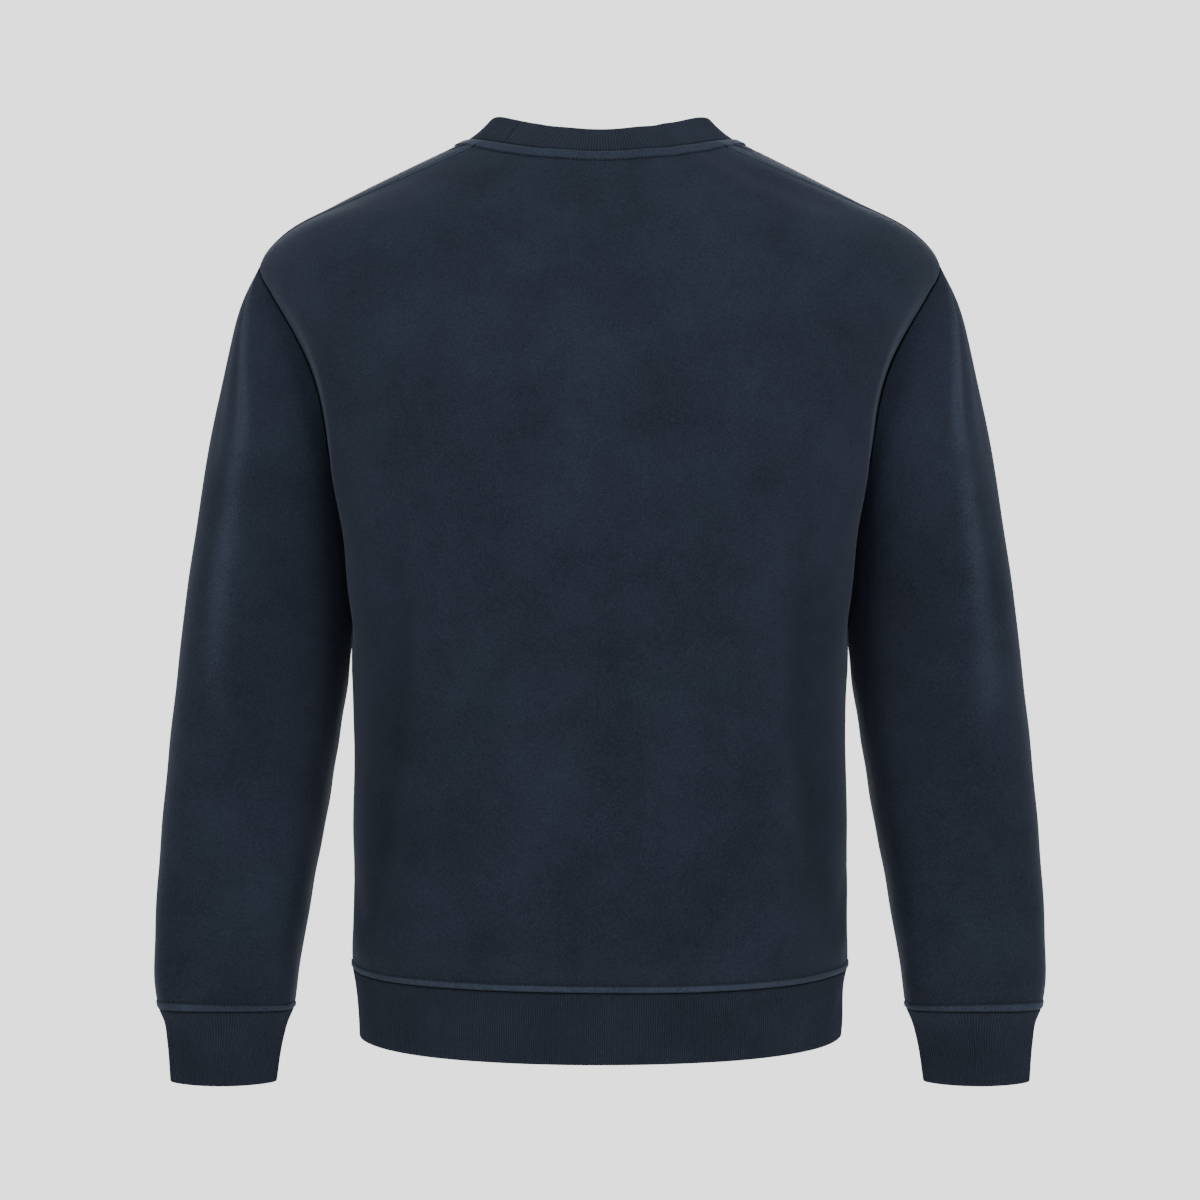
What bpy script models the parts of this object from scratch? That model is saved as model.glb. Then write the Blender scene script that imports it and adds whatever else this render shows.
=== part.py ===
"""Crewneck sweatshirt in navy cotton fleece, filled out as if worn, arms hanging.

Metres, +Z up. The front faces -Y and the wearer's left is +X. The origin lies on the centre line, level
with the two points where the neck seam crosses the top of the shoulders, which is where a wearer holds
the garment up.

A maker cuts eight pieces: front, back, two sleeves, neck rib, hem rib and two cuffs. Each is one wall of
cloth. Angles go round the body in degrees from the centre back (0) over the wearer's left side (90) to
the centre front (180). Tables hold millimetres and are read smoothly between their rows.
"""

import math

import bmesh
import bpy
import numpy as np

MM = 0.001
FLEECE_THICKNESS = 2.0 * MM
RIB_THICKNESS = 3.0 * MM
SEAM_GAP = 0.3 * MM

# Small moves that measure a surface's directions: metres, degrees round it, share of a length
PROBE = 1e-4
TURN_PROBE = 0.05
SHARE_PROBE = 0.002

# Mean radius of the body and of a sleeve, and lengths that a whole share of a sleeve stands for
BODY_RADIUS = 140 * MM
SLEEVE_RADIUS = 60 * MM
SLEEVE_LENGTH = 500 * MM
SLEEVE_END_LENGTH = 380 * MM

# Heights of the main seams at the side or top of the body
ARMHOLE_TOP = -92.5 * MM
ARMHOLE_BOTTOM = -297.0 * MM
HEM_SEAM_SIDE = -626.5 * MM
HEM_SEAM_SAG = 9.5 * MM
HEM_SEAM_WAVE = 0.8 * MM
HEM_BOTTOM_SIDE = -679.5 * MM
HEM_BOTTOM_SAG = 9.5 * MM
CUFF_BOTTOM = -718.0 * MM
CUFF_SAG = 1.5 * MM

# Neck seam and the shoulder seam that starts on it
NECK_HALF_WIDTH = 103.0 * MM
NECK_DROP_BACK = 16.0 * MM
NECK_DROP_FRONT = 75.0 * MM
NECK_FRONT_ROUNDNESS = 1.5
NECK_SHOULDER_AT = 62.0
SHOULDER_SEAM_BACK = 36.0

# Armhole: how far it bows into the back and the front, in degrees, and how far its seam is tucked in
ARMHOLE_BOW_BACK = 22.0
ARMHOLE_BOW_FRONT = 28.0
ARMHOLE_ROUNDNESS = 0.6
TUCK_REACH = 29.0 * MM
TUCK_FLOOR = 12.0 * MM

# Raised seam strips: width and height above the cloth beside them
NECK_STRIP = (8.3 * MM, 1.3 * MM)
SHOULDER_STRIP = (6.2 * MM, 0.7 * MM)
HEM_STRIP = (4.3 * MM, 0.7 * MM)
CUFF_STRIP = (4.0 * MM, 0.7 * MM)
STRIP_EDGE = 1.0 * MM

# Ribs: real ribs stand about 1.66 mm apart, and every second one is raised here
RIBS_ON_HEM = 272
RIBS_ON_NECK = 150
RIBS_ON_CUFF = 63
RIB_HEIGHT = 0.35 * MM

# Grid of the walls
BACK_NECK_STEPS = 6
FRONT_NECK_STEPS = 9
SHOULDER_STEPS = 7
BODY_ROWS = 8
SLEEVE_ROWS = 15
ARMHOLE_STEPS = (0, 12, 16, 32, 48, 65, 82, 98, 115, 131, 147, 163, 180)
ROW_CLIMB = 1.6
EASED_ROWS = 8
EASING_PASSES = 20
HEM_SAG_FADE = 3
SLEEVE_ROW_GROWTH = 1.15
MITRE_LIMIT = 0.6
FOLD_LIMIT = 0.25
INNER_SHARE = 4


class Table:
    """Rows of sizes in millimetres with named columns, ordered by the first column."""

    def __init__(self, columns, rows):
        self.columns = columns.split()
        data = np.array(rows, float)
        self.data = data[np.argsort(data[:, 0])]

    def read(self, column, key):
        """The column at key, on a smooth curve through the rows, straight on past the ends."""
        xs = self.data[:, 0]
        ys = self.data[:, self.columns.index(column)]
        step = np.diff(xs)
        slope = np.diff(ys) / step
        tangent = np.empty_like(ys)
        tangent[0] = slope[0]
        tangent[-1] = slope[-1]
        tangent[1:-1] = (slope[:-1] * step[1:] + slope[1:] * step[:-1]) / (step[:-1] + step[1:])
        inside = np.clip(key, xs[0], xs[-1])
        i = np.clip(np.searchsorted(xs, inside) - 1, 0, len(xs) - 2)
        t = (inside - xs[i]) / step[i]
        value = ys[i] * (1 + 2 * t) * (1 - t) ** 2 + ys[i + 1] * t * t * (3 - 2 * t)
        value = value + step[i] * (tangent[i] * t * (1 - t) ** 2 - tangent[i + 1] * t * t * (1 - t))
        below = tangent[0] * np.minimum(key - xs[0], 0)
        above = tangent[-1] * np.maximum(key - xs[-1], 0)
        return value + below + above


# Level sections of the body: half width, y at the centre back, centre front and side, squareness
BODY = Table(
    "height half_width back front side square",
    [
        (4, 93.5, 56, -64, -5, 0.000),
        (0, 103.0, 58, -66, -5, 0.000),
        (-5, 113.6, 61, -69, -5, 0.000),
        (-14, 132.4, 65, -73, -6, 0.000),
        (-32, 168.6, 76, -83, -7, 0.000),
        (-50, 204.3, 86, -93, -8, 0.004),
        (-64, 231.6, 93, -100, -9, 0.008),
        (-78, 248.6, 98, -107, -9, 0.012),
        (-92.5, 258.6, 103, -113, -10, 0.016),
        (-117, 255.5, 110, -122, -10, 0.022),
        (-150, 246.4, 117, -131, -10, 0.028),
        (-200, 232.6, 123, -140, -10, 0.034),
        (-250, 219.0, 125, -143, -9, 0.036),
        (-297, 203.2, 124, -142, -9, 0.036),
        (-340, 197.6, 121, -139, -8, 0.036),
        (-386, 190.2, 118, -135, -8, 0.036),
        (-450, 187.0, 114, -131, -8, 0.036),
        (-520, 188.3, 113, -130, -8, 0.034),
        (-580, 186.4, 112, -128, -8, 0.032),
        (-612, 188.4, 110, -124, -8, 0.028),
        (-627, 188.2, 105, -116, -8, 0.022),
        (-640, 186.5, 103, -112, -8, 0.020),
    ],
)

# How deep the arm presses the body in along the back and front of the armhole and below it
TUCK = Table(
    "height depth",
    [
        (-402, 0.0),
        (-386, 1.5),
        (-368, 5.0),
        (-337, 9.0),
        (-312, 11.0),
        (-290, 11.0),
        (-260, 10.5),
        (-170, 10.0),
        (-140, 5.0),
        (-108, 0.0),
    ],
)

# Sections of a sleeve by share of its length: the outer and inner line, and its y at the back and front
SLEEVE = Table(
    "share outer_x outer_z inner_x inner_z back front",
    [
        (0.00, 262.0, -92.5, 192.6, -297.0, 38, -58),
        (0.05, 274.4, -121.0, 192.6, -312.0, 44, -70),
        (0.12, 284.6, -161.0, 191.4, -337.0, 47, -84),
        (0.20, 294.2, -206.0, 190.0, -368.0, 47, -92),
        (0.30, 304.2, -263.0, 192.4, -402.0, 45, -95),
        (0.40, 312.7, -320.0, 198.7, -443.0, 43, -95),
        (0.50, 320.0, -377.0, 204.5, -479.0, 39, -92),
        (0.60, 326.6, -434.0, 210.4, -516.0, 34, -87),
        (0.70, 332.4, -491.0, 217.3, -552.0, 28, -81),
        (0.80, 337.5, -548.0, 223.7, -589.0, 21, -75),
        (0.90, 340.9, -605.0, 230.0, -625.0, 14, -68),
        (0.96, 341.3, -639.0, 233.0, -647.0, 8, -62),
        (1.00, 338.8, -661.0, 235.0, -661.0, 4, -57),
    ],
)
SLEEVE_SQUARE = 0.02
SEAM_FADE = 0.34

# Level sections of a cuff by share of its height
CUFF = Table(
    "share outer inner back front",
    [
        (0.00, 338.6, 235.2, 4.0, -57.0),
        (0.18, 334.4, 239.6, -1.0, -52.0),
        (0.45, 332.2, 243.5, -3.5, -49.5),
        (1.00, 329.8, 248.2, -6.0, -47.0),
    ],
)

# Level sections of the hem rib by share of its height
HEM = Table(
    "share half_width back front side square",
    [
        (0.00, 188.0, 104.0, -114.0, -8, 0.020),
        (0.25, 185.6, 101.0, -109.0, -8, 0.022),
        (1.00, 184.6, 99.0, -106.0, -8, 0.030),
    ],
)

# Rim of the collar by angle round the neck: distance from the seam inwards and upwards, and its swell
COLLAR = Table(
    "angle inward rise bulge",
    [
        (0, 15.5, 19.5, 1.0),
        (45, 16.8, 19.2, 0.6),
        (63, 17.6, 19.2, 0.0),
        (77, 18.4, 17.0, -1.2),
        (90, 18.6, 13.4, -1.8),
        (105, 19.0, 14.8, -1.4),
        (135, 19.0, 17.5, 0.4),
        (180, 13.0, 20.5, 1.0),
    ],
)

# Folds of the body: angle and height at the two ends, height over the cloth (minus is a trough),
# width, and how far the middle bows aside in degrees
BODY_FOLDS = (
    (30, -230, 50, -600, 2.6, 18, -3),
    (43, -280, 59, -596, -3.2, 17, -4),
    (-24, -150, -46, -600, 2.8, 19, 5),
    (-44, -300, -58, -596, -3.2, 18, 2),
    (12, -480, 30, -600, 1.2, 24, 0),
    (-15, -520, -34, -604, 1.2, 22, 0),
    (84, -560, 70, -622, 2.0, 16, 0),
    (-86, -550, -70, -620, 2.2, 16, 0),
    (142, -170, 150, -470, 2.4, 28, 0),
    (-138, -190, -146, -520, 2.2, 26, 0),
    (118, -320, 124, -560, -2.6, 24, 0),
    (-120, -330, -122, -540, -2.4, 22, 0),
    (166, -500, 150, -604, 1.4, 24, 0),
)

# Folds of a sleeve: angle round it (0 outer, 90 back, 180 inner, 270 front) and share at the two ends
SLEEVE_FOLDS = (
    (30, 0.02, 64, 0.50, 1.8, 10, 12),
    (66, 0.08, 88, 0.52, -1.6, 18, 0),
    (330, 0.02, 298, 0.46, 1.8, 10, -12),
    (300, 0.14, 275, 0.50, -1.6, 18, 0),
    (228, 0.38, 292, 0.50, -2.2, 9, 0),
    (222, 0.50, 296, 0.58, -1.8, 9, 0),
    (162, 0.08, 160, 0.26, 3.0, 11, 0),
    (199, 0.10, 202, 0.24, 2.0, 11, 0),
    (120, 0.84, 50, 0.97, 1.4, 10, 0),
    (250, 0.86, 318, 0.97, 1.4, 10, 0),
)

NAVY_FLEECE = (0.0178, 0.0250, 0.0382)
NAVY_RIB = (0.0160, 0.0214, 0.0320)


def unit(vectors):
    """Vectors of length one."""
    return vectors / np.linalg.norm(vectors, axis=-1, keepdims=True)


def degrees_apart(angle):
    """An angle difference brought to -180 to 180 degrees."""
    return (angle + 180) % 360 - 180


def fold_height(folds, along, across, reach, radius):
    """The height that a table of folds adds at places given by a length and an angle.

    along is the value that runs with a fold, in the units of its second and fourth column; reach turns a
    difference in it into metres, and radius turns radians into metres.
    """
    total = np.zeros(np.broadcast(along, across).shape)
    for angle_a, start, angle_b, end, height, width, bow in folds:
        t = np.clip((along - start) / (end - start), 0, 1)
        middle = angle_a + degrees_apart(angle_b - angle_a) * t + bow * 4 * t * (1 - t)
        aside = np.radians(degrees_apart(across - middle)) * radius
        beyond = (along - (start + (end - start) * t)) * reach
        fade = np.sin(math.pi * (0.08 + 0.84 * t)) ** 0.8
        distance = (aside**2 + beyond**2) / (width * MM) ** 2
        total = total + height * MM * fade * np.exp(-distance)
    return total


def level_ring(table, key, angle):
    """Points of a level section, as x and y, for a table with half_width, back, front, side, square."""
    square = table.read("square", key)
    sine = np.sin(np.radians(angle))
    cosine = np.cos(np.radians(angle))
    across = (sine + square * np.sin(np.radians(3 * angle))) / (1 - square)
    deep = (cosine - square * np.cos(np.radians(3 * angle))) / (1 - square)
    side = table.read("side", key)
    depth = np.where(cosine > 0, table.read("back", key) - side, side - table.read("front", key))
    x = table.read("half_width", key) * across * MM
    y = (side + depth * deep) * MM
    return x, y


def armhole_share(height):
    """How far up the armhole a height lies, from 0 at the armpit to 1 at the shoulder."""
    return np.clip((height - ARMHOLE_BOTTOM) / (ARMHOLE_TOP - ARMHOLE_BOTTOM), 0, 1)


def armhole_angle(height, bow):
    """Angle of the armhole seam from the side line, for a bow in degrees."""
    share = armhole_share(height)
    return bow * (4 * share * (1 - share)) ** ARMHOLE_ROUNDNESS


def tuck(angle, height):
    """How deep the arm presses the cloth in beside the armhole seam and on down the side below it."""
    turned = np.abs(degrees_apart(angle))
    line = np.maximum(height, ARMHOLE_BOTTOM + TUCK_FLOOR)
    behind = 90 - armhole_angle(line, ARMHOLE_BOW_BACK) - turned
    before = turned - 90 - armhole_angle(line, ARMHOLE_BOW_FRONT)
    distance = np.radians(np.maximum(behind, before)) * BODY_RADIUS
    near = (1 - np.clip(distance / TUCK_REACH, 0, 1) ** 2) ** 2
    depth = TUCK.read("depth", np.clip(height / MM, TUCK.data[0, 0], TUCK.data[-1, 0])) * MM
    return np.maximum(depth, 0) * near


def shoulder_turn(angle, height):
    """How far the cloth is turned back over the shoulder, which puts its seam behind the ridge."""
    share = np.clip(height / ARMHOLE_TOP, 0, 1)
    return SHOULDER_SEAM_BACK * (1 - share) * np.sin(np.radians(angle)) ** 2


def level_angle(angle, height):
    """The angle in the body's level section of an angle on the cloth, whose 90 is the shoulder seam."""
    angle = degrees_apart(angle)
    return angle - np.sign(angle) * shoulder_turn(angle, height)


def cloth_angle(angle, height):
    """The angle on the cloth of an angle from 0 to 180 in the body's level section."""
    found = angle
    for _ in range(30):
        found = angle + shoulder_turn(found, height)
    return found


def body_form(angle, height):
    """Points of the body before its folds."""
    x, y = level_ring(BODY, height / MM, level_angle(angle, height))
    return np.stack([x, y, np.broadcast_to(height, x.shape)], axis=-1)


def body_outward(form, angle, height):
    """The outward direction of a form that is given by angle and height."""
    turn = form(angle + TURN_PROBE, height) - form(angle - TURN_PROBE, height)
    climb = form(angle, height + PROBE) - form(angle, height - PROBE)
    return unit(np.cross(climb, turn))


def body(angle, height):
    """Points of the body's outer face, with its folds and the tuck along the armholes."""
    angle, height = np.broadcast_arrays(np.asarray(angle, float), np.asarray(height, float))
    lift = fold_height(BODY_FOLDS, height / MM, angle, MM, BODY_RADIUS)
    moved = lift - tuck(angle, height)
    return body_form(angle, height) + body_outward(body_form, angle, height) * moved[..., None]


def pattern_place(angle, height):
    """How far aside of the centre back a place on the left half of the cloth lies, as if laid flat."""
    return BODY.read("half_width", height / MM) * MM * angle / 90


def pattern_angle(aside, height):
    """The angle on the cloth of a place that is given by its flat distance from the centre back."""
    return aside / (BODY.read("half_width", height / MM) * MM) * 90


def slide(angle, height, move):
    """New angle and height of points of the body that slide over it by small moves."""
    turn = (body(angle + TURN_PROBE, height) - body(angle - TURN_PROBE, height)) / (2 * TURN_PROBE)
    climb = (body(angle, height + PROBE) - body(angle, height - PROBE)) / (2 * PROBE)
    tt = (turn * turn).sum(-1)
    tc = (turn * climb).sum(-1)
    cc = (climb * climb).sum(-1)
    tm = (turn * move).sum(-1)
    cm = (climb * move).sum(-1)
    scale = tt * cc - tc * tc
    return angle + (tm * cc - cm * tc) / scale, height + (cm * tt - tm * tc) / scale


def neck_seam(turn):
    """Angle and height on the left cloth of the neck seam, by the angle round the neck, from 0 to 180."""
    back = np.cos(np.radians(np.minimum(turn, 90)))
    front = np.cos(np.radians(np.maximum(turn, 90)))
    height = -NECK_DROP_BACK * back**2 - NECK_DROP_FRONT * np.abs(front) ** NECK_FRONT_ROUNDNESS
    x = NECK_HALF_WIDTH * np.sin(np.radians(turn))
    sine = np.clip(x / (BODY.read("half_width", height / MM) * MM), -1, 1)
    angle = np.degrees(np.arcsin(sine))
    angle = np.where(turn > 90, 180 - angle, angle)
    return cloth_angle(angle, height), height


def shoulder_seam(share):
    """Angle and height of the left shoulder seam, from the neck (0) to the armhole (1)."""
    _, height = neck_seam(np.array(NECK_SHOULDER_AT))
    return np.full(share.shape, 90.0), height + (ARMHOLE_TOP - height) * share


def armhole(turn, front):
    """Angle and height of the left armhole seam, by degrees from the shoulder (0) to the armpit (180)."""
    share = (1 + np.cos(np.radians(turn))) / 2
    height = ARMHOLE_BOTTOM + (ARMHOLE_TOP - ARMHOLE_BOTTOM) * share
    if front:
        return 90 + armhole_angle(height, ARMHOLE_BOW_FRONT), height
    return 90 - armhole_angle(height, ARMHOLE_BOW_BACK), height


def hem_seam_height(angle):
    """Height of the hem seam, lower at the centre back and front and gently waved."""
    sag = np.abs(np.cos(np.radians(angle))) ** 1.2
    wave = HEM_SEAM_WAVE * np.sin(np.radians(angle * 3 + 40))
    return HEM_SEAM_SIDE - HEM_SEAM_SAG * sag + wave * sag


def patch_row(u, share, base, top, left, right):
    """One row of a patch between four lines: its base and top, and the ends of the row."""
    rows = (1 - share) * base + share * top
    sides = (1 - u) * left + u * right
    low = (1 - u) * base[0] + u * base[-1]
    high = (1 - u) * top[0] + u * top[-1]
    return rows + sides - (1 - share) * low - share * high


def spread(values):
    """Steps from 0 to 1 for the points of a line, by its length."""
    length = np.linalg.norm(np.diff(values, axis=0), axis=-1)
    return np.concatenate([[0], np.cumsum(length)]) / length.sum()


class Panel:
    """The front or the back: a grid in angle and height between the panel's seams."""

    def __init__(self, front):
        self.front = front
        self.centre = 180.0 if front else 0.0
        self.grid()

    def mirror(self, angle):
        """The angle on the other side of the panel's centre line."""
        return 2 * self.centre - angle

    def top_line(self):
        """Angle and height along the shoulder and neck seams, from the left side to the right."""
        left_angle, left_height = shoulder_seam(np.linspace(1, 0, SHOULDER_STEPS + 1))
        steps = FRONT_NECK_STEPS if self.front else BACK_NECK_STEPS
        turn = np.linspace(NECK_SHOULDER_AT, self.centre, steps + 1)[1:]
        neck_angle, neck_height = neck_seam(turn)
        neck_angle[-1] = self.centre
        angle = np.concatenate([left_angle, neck_angle])
        height = np.concatenate([left_height, neck_height])
        angle = np.concatenate([angle, self.mirror(angle[:-1])[::-1]])
        height = np.concatenate([height, height[:-1][::-1]])
        return angle, height

    def inward(self, angle, height):
        """Directions over the body, away from the top line, square to it and mitred at its corners."""
        points = body(angle, height)
        along = unit(np.diff(points, axis=0))
        out = body_outward(body, angle, height)
        before = unit(np.cross(np.concatenate([along[:1], along]), out))
        after = unit(np.cross(np.concatenate([along, along[-1:]]), out))
        middle = unit(before + after)
        middle = middle / np.maximum((middle * before).sum(-1, keepdims=True), MITRE_LIMIT)
        return middle if middle[:, 2].mean() < 0 else -middle

    def strip_sizes(self, count):
        """Width of the raised strip at each column of the top line, and its height."""
        width = np.full(count, NECK_STRIP[0])
        rise = np.full(count, NECK_STRIP[1])
        shoulder = np.zeros(count, bool)
        shoulder[:SHOULDER_STEPS] = True
        shoulder[-SHOULDER_STEPS:] = True
        width[shoulder] = SHOULDER_STRIP[0]
        rise[shoulder] = SHOULDER_STRIP[1] if self.front else 0.0
        return width, rise

    def aside(self, angle, height):
        """Flat distance from the panel's centre line, more than 0 on the wearer's left."""
        turned = angle if not self.front else 180 - angle
        return pattern_place(turned, height)

    def angle_at(self, aside, height):
        """The angle of a flat distance from the panel's centre line."""
        turned = pattern_angle(aside, height)
        return turned if not self.front else 180 - turned

    def grid(self):
        """Works out the angle and height of each point, row by row from the hem up."""
        top_angle, top_height = self.top_line()
        count = len(top_angle)
        width, rise = self.strip_sizes(count)
        inward = self.inward(top_angle, top_height)
        side = [armhole(np.array(float(t)), self.front) for t in ARMHOLE_STEPS]
        top = [(top_angle, top_height)]
        for step, reach in ((1, width), (2, width + STRIP_EDGE)):
            angle, height = slide(top_angle, top_height, inward * reach[:, None])
            angle[0], height[0] = side[step]
            angle[-1], height[-1] = self.mirror(side[step][0]), side[step][1]
            top.append((angle, height))
        u = np.linspace(0, 1, count)
        hem_angle = 90 + (self.mirror(90.0) - 90) * u
        hem_height = hem_seam_height(hem_angle)
        rises = (0, HEM_STRIP[0], HEM_STRIP[0] + STRIP_EDGE)
        foot = [(hem_angle, hem_height + rise_at) for rise_at in rises]
        heights = np.linspace(foot[2][1][0], ARMHOLE_BOTTOM, BODY_ROWS + 1)
        left = [(90.0, h) for h in heights] + side[-2:1:-1]
        left_angle = np.array([float(a) for a, _ in left])
        left_height = np.array([float(h) for _, h in left])
        left_aside = self.aside(left_angle, left_height)
        base = (self.aside(*foot[2]), foot[2][1])
        under = (self.aside(*top[2]), top[2][1])
        middle = []
        for k, share in enumerate(spread(body(left_angle, left_height))):
            aside = patch_row(u, share, base[0], under[0], left_aside[k], -left_aside[k])
            sag = (base[1] - base[1][0]) * (1 - share) ** HEM_SAG_FADE
            climb = (under[1] - under[1][0]) * armhole_share(left_height[k]) ** ROW_CLIMB
            height = left_height[k] + sag + climb
            middle.append((self.angle_at(aside, height), height))
        middle[0] = foot[2]
        middle[-1] = top[2]
        rows = foot[:2] + self.eased(middle) + [top[1], top[0]]
        self.angle = np.array([angle for angle, _ in rows])
        self.height = np.array([height for _, height in rows])
        self.relief = np.zeros(self.angle.shape)
        self.relief[:2] = HEM_STRIP[1]
        self.relief[-2:] = rise

    def eased(self, rows):
        """The rows with the inner points near the top drawn evenly between their neighbours."""
        height = np.array([row for _, row in rows])
        aside = np.array([self.aside(*row) for row in rows])
        flat = np.stack([aside, height], axis=-1)[-EASED_ROWS:]
        for _ in range(EASING_PASSES):
            level = (flat[1:-1, :-2] + flat[1:-1, 2:]) / 2
            upright = (flat[:-2, 1:-1] + flat[2:, 1:-1]) / 2
            flat[1:-1, 1:-1] = (level + upright) / 2
        aside[-EASED_ROWS:] = flat[..., 0]
        height[-EASED_ROWS:] = flat[..., 1]
        return list(zip(self.angle_at(aside, height), height))

    def wall(self):
        """Inner and outer points of the panel's wall."""
        face = body(self.angle, self.height)
        out = body_outward(body, self.angle, self.height)
        gap = SEAM_GAP / 2
        left = draw_back(face[:, 0], face[:, 1], out[:, 0], gap)
        right = draw_back(face[:, -1], face[:, -2], out[:, -1], gap)
        face[:, 0] = left
        face[:, -1] = right
        low = draw_back(face[0], face[1], out[0], gap)
        high = draw_back(face[-1], face[-2], out[-1], gap)
        face[0] = low
        face[-1] = high
        inner = face - out * FLEECE_THICKNESS
        outer = face + out * self.relief[..., None]
        return inner, outer


def draw_back(edge, beside, out, by):
    """An edge of a grid of points drawn back over the surface, square to the edge."""
    along = np.gradient(edge, axis=0)
    square = unit(np.cross(along, out))
    if ((beside - edge) * square).sum() < 0:
        square = -square
    return edge + square * by


def sleeve_oval(turn, share):
    """Points of a plain sleeve, by the angle round it and the share of its length."""
    square = SLEEVE_SQUARE
    turned = np.radians(turn)
    wide = (np.cos(turned) + square * -np.cos(3 * turned)) / (1 - square)
    deep = (np.sin(turned) + square * np.sin(3 * turned)) / (1 - square)
    ends = [SLEEVE.read(name, share) * MM for name in ("outer_x", "inner_x", "outer_z", "inner_z")]
    back = SLEEVE.read("back", share) * MM
    front = SLEEVE.read("front", share) * MM
    x = (ends[0] + ends[1]) / 2 + (ends[0] - ends[1]) / 2 * wide
    z = (ends[2] + ends[3]) / 2 + (ends[2] - ends[3]) / 2 * wide
    y = (back + front) / 2 + (back - front) / 2 * deep
    return np.stack([x, y, z], axis=-1)


def armhole_loop(turn):
    """Points of the left armhole seam, by the angle round the sleeve."""
    turned = np.asarray(turn, float) % 360
    front = turned > 180
    around = np.where(front, 360 - turned, turned)
    angle_back, height = armhole(around, False)
    angle_front, _ = armhole(around, True)
    return body(np.where(front, angle_front, angle_back), height)


def armhole_sides(turn):
    """The body's outward direction at the armhole seam, and the way its cloth runs off over the seam."""
    along = armhole_loop(turn + TURN_PROBE) - armhole_loop(turn - TURN_PROBE)
    turned = np.asarray(turn, float) % 360
    front = turned > 180
    around = np.where(front, 360 - turned, turned)
    angle_back, height = armhole(around, False)
    angle_front, _ = armhole(around, True)
    out = body_outward(body, np.where(front, angle_front, angle_back), height)
    return out, unit(np.cross(along, out))


def sleeve_form(turn, share):
    """Points of the left sleeve before its folds: an oval tube that starts as the armhole seam."""
    turn, share = np.broadcast_arrays(np.asarray(turn, float), np.asarray(share, float))
    start = armhole_loop(turn) - sleeve_oval(turn, np.zeros_like(share))
    fade = (1 - np.clip(share / SEAM_FADE, 0, 1)) ** 3
    return sleeve_oval(turn, share) + start * fade[..., None]


def sleeve_outward(turn, share):
    """The outward direction of the left sleeve."""
    share = np.asarray(share, float)
    later = np.clip(share + SHARE_PROBE, 0, 1)
    sooner = np.clip(share - SHARE_PROBE, 0, 1)
    run = sleeve_form(turn, later) - sleeve_form(turn, sooner)
    round_it = sleeve_form(turn + TURN_PROBE, share) - sleeve_form(turn - TURN_PROBE, share)
    return unit(np.cross(run, round_it))


def sleeve(turn, share):
    """Points of the left sleeve's outer face."""
    lift = fold_height(SLEEVE_FOLDS, share, turn, SLEEVE_LENGTH, SLEEVE_RADIUS)
    return sleeve_form(turn, share) + sleeve_outward(turn, share) * lift[..., None]


def sleeve_turns():
    """The angles of a sleeve's columns, which are those of the armhole's points in both panels."""
    back = list(ARMHOLE_STEPS)
    front = [360 - t for t in reversed(ARMHOLE_STEPS[:-1])]
    return np.array(back + front, float)


def sleeve_wall():
    """Inner and outer points of the left sleeve's wall."""
    strip = CUFF_STRIP[0] / SLEEVE_END_LENGTH
    edge = STRIP_EDGE / SLEEVE_END_LENGTH
    steps = np.linspace(0, 1, SLEEVE_ROWS + 1) ** SLEEVE_ROW_GROWTH * (1 - strip - edge)
    share = np.concatenate([steps, [1 - strip, 1.0]])
    turn = sleeve_turns()
    turn, share = np.meshgrid(turn, share)
    face = sleeve(turn, share)
    out = sleeve_outward(turn, share)
    body_out, over = armhole_sides(turn[0])
    run = unit(face[1] - face[0])
    apart = np.linalg.norm(np.cross(run, over), axis=-1, keepdims=True)
    folded = (run * over).sum(-1, keepdims=True) < 0
    face[0] += run * np.where(folded, SEAM_GAP / np.maximum(apart, FOLD_LIMIT), SEAM_GAP)
    out[0] = unit(out[0] - over * np.maximum((out[0] * over).sum(-1, keepdims=True), 0))
    face[-1] += unit(face[-2] - face[-1]) * SEAM_GAP / 2
    relief = np.zeros(share.shape)
    relief[-2:] = CUFF_STRIP[1]
    return face - out * FLEECE_THICKNESS, face + out * relief[..., None]


class Edge:
    """A closed seam edge: the corners of a wall's open end, its outward direction and an angle at each."""

    def __init__(self, points, out, angles):
        self.points = points
        self.out = out
        self.angles = np.array(angles, float)
        self.share = spread(points)

    def at(self, where):
        """Place, outward direction and angle on the straight pieces between corners, by share of length."""
        where = where % 1.0
        i = np.clip(np.searchsorted(self.share, where, side="right") - 1, 0, len(self.share) - 2)
        t = (where - self.share[i]) / (self.share[i + 1] - self.share[i])
        angle = self.angles[i] * (1 - t) + self.angles[i + 1] * t
        t = t[..., None]
        out = self.out[i] * (1 - t) + self.out[i + 1] * t
        return self.points[i] * (1 - t) + self.points[i + 1] * t, out, angle


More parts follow.
